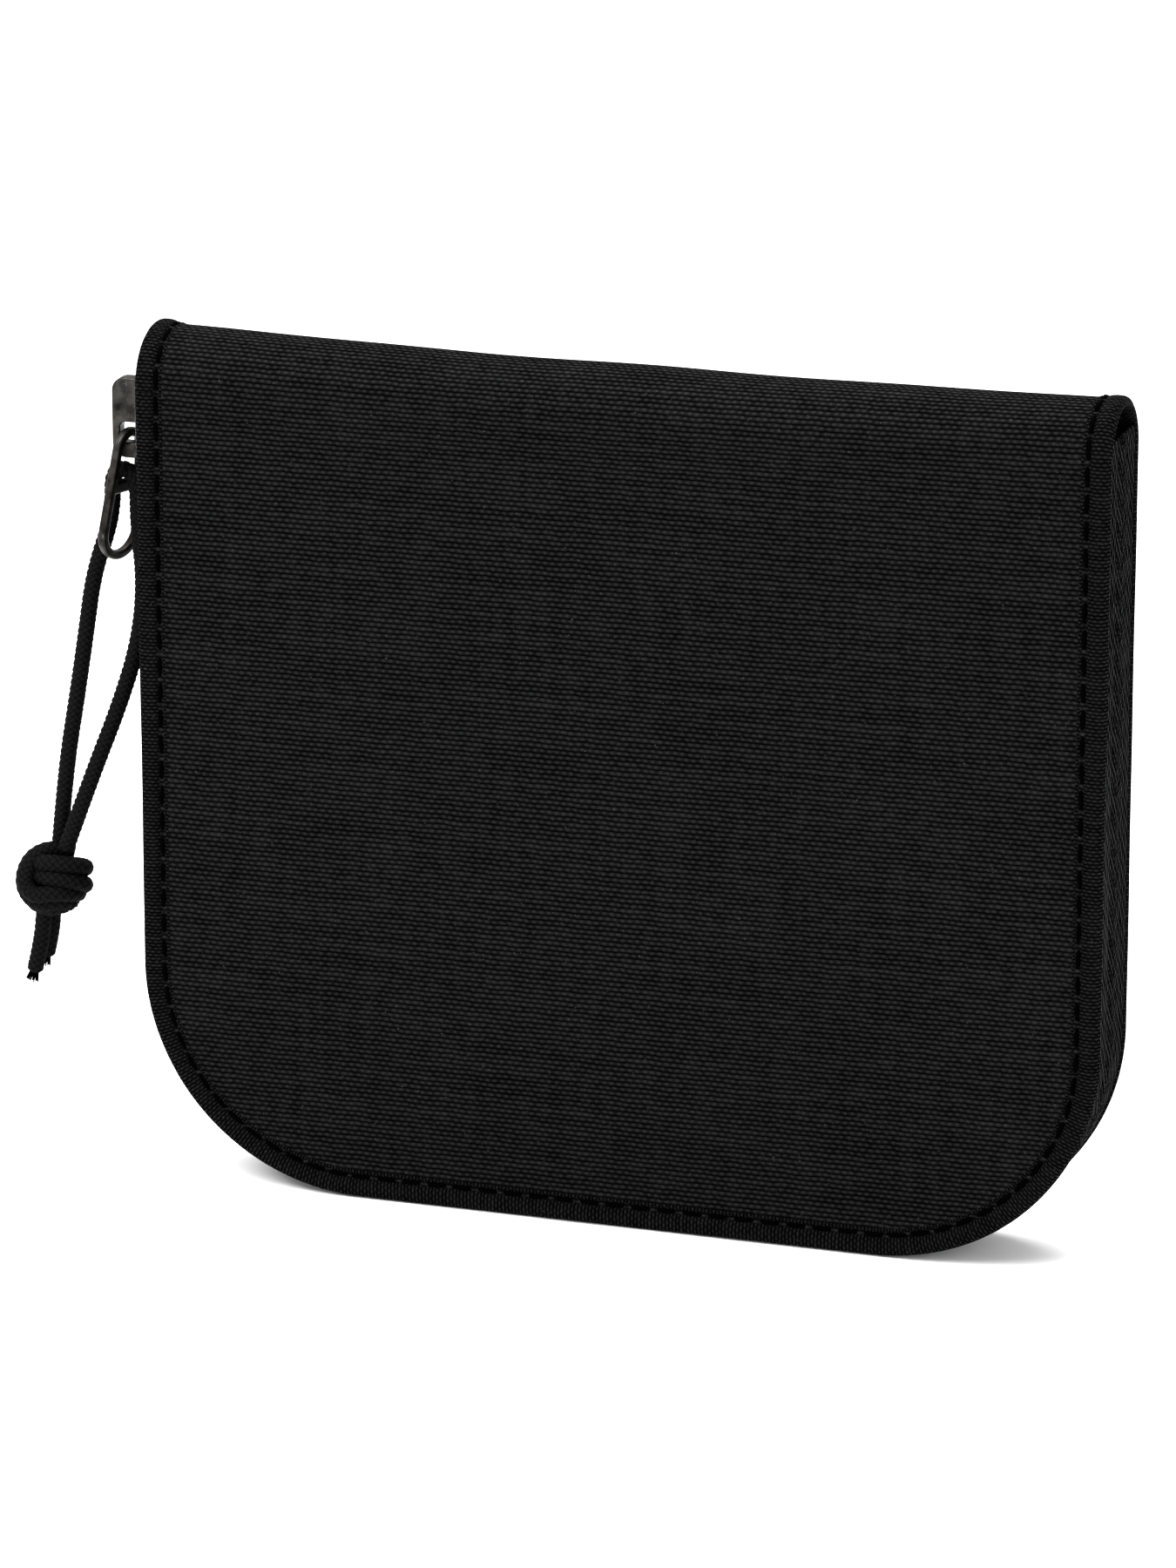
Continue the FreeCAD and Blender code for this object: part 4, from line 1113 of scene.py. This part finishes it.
def plain(name, colour, roughness):
    """A matt studio surface with a trace of unevenness."""
    material, tree, shader = new_material(name)
    noise = add(tree, "ShaderNodeTexNoise", {"Scale": 3.0})
    darker = tuple(c * 0.985 for c in colour)
    tree.links.new(ramp(tree, noise.outputs["Fac"], darker, colour), shader.inputs["Base Color"])
    shader.inputs["Roughness"].default_value = roughness
    return material


def area_light(name, place, aim, size, power):
    """A soft square light that faces a point."""
    data = bpy.data.lights.new(name, "AREA")
    data.size = size
    data.energy = power
    light = bpy.data.objects.new(name, data)
    light.location = place
    light.rotation_euler = (Vector(aim) - Vector(place)).to_track_quat("-Z", "Y").to_euler()
    bpy.context.scene.collection.objects.link(light)


def studio():
    """A pale floor, a white surround and soft lights."""
    reach = 3.0
    span = np.linspace(-reach, reach, 9)
    x, y = np.meshgrid(span, span)
    floor = grid_mesh("floor", np.stack([x, y, x * 0], -1), span, span)
    dress(floor, plain("floor", (0.93, 0.93, 0.93), 0.9))
    world = bpy.data.worlds.new("studio")
    world.use_nodes = True
    world.node_tree.nodes["Background"].inputs["Color"].default_value = (1, 1, 1, 1)
    world.node_tree.nodes["Background"].inputs["Strength"].default_value = 0.95
    bpy.context.scene.world = world
    middle = (MID_X, 0, HEIGHT / 2)
    area_light("key", (-0.45, -0.55, 0.85), middle, 0.5, 14)
    area_light("overhead", (0.1, 0.25, 0.9), middle, 0.6, 12)
    area_light("fill", (0.7, -0.6, 0.4), middle, 0.6, 2.5)


def camera():
    """A long lens, to the right of the front and a little above."""
    azimuth, elevation, distance = math.radians(18.0), math.radians(17.2), 1.02
    back = np.array([
        math.sin(azimuth) * math.cos(elevation),
        -math.cos(azimuth) * math.cos(elevation),
        math.sin(elevation),
    ])
    right = np.array([math.cos(azimuth), math.sin(azimuth), 0.0])
    up = np.cross(back, right)
    aim = np.array([MID_X, 0, HEIGHT / 2]) - 5.4 * MM * right + 0.85 * MM * up
    data = bpy.data.cameras.new("camera")
    data.lens = 181
    data.clip_start = 0.01
    view = bpy.data.objects.new("camera", data)
    view.location = aim + distance * back
    view.rotation_euler = Vector(-back).to_track_quat("-Z", "Y").to_euler()
    bpy.context.scene.collection.objects.link(view)
    bpy.context.scene.camera = view
    bpy.context.scene.view_settings.view_transform = "Standard"


camera()
studio()
pull_cord()
shell_cloth()
binding()
top_stitching()
zip_coils()
zip_tapes()
insides()
dress_frame()
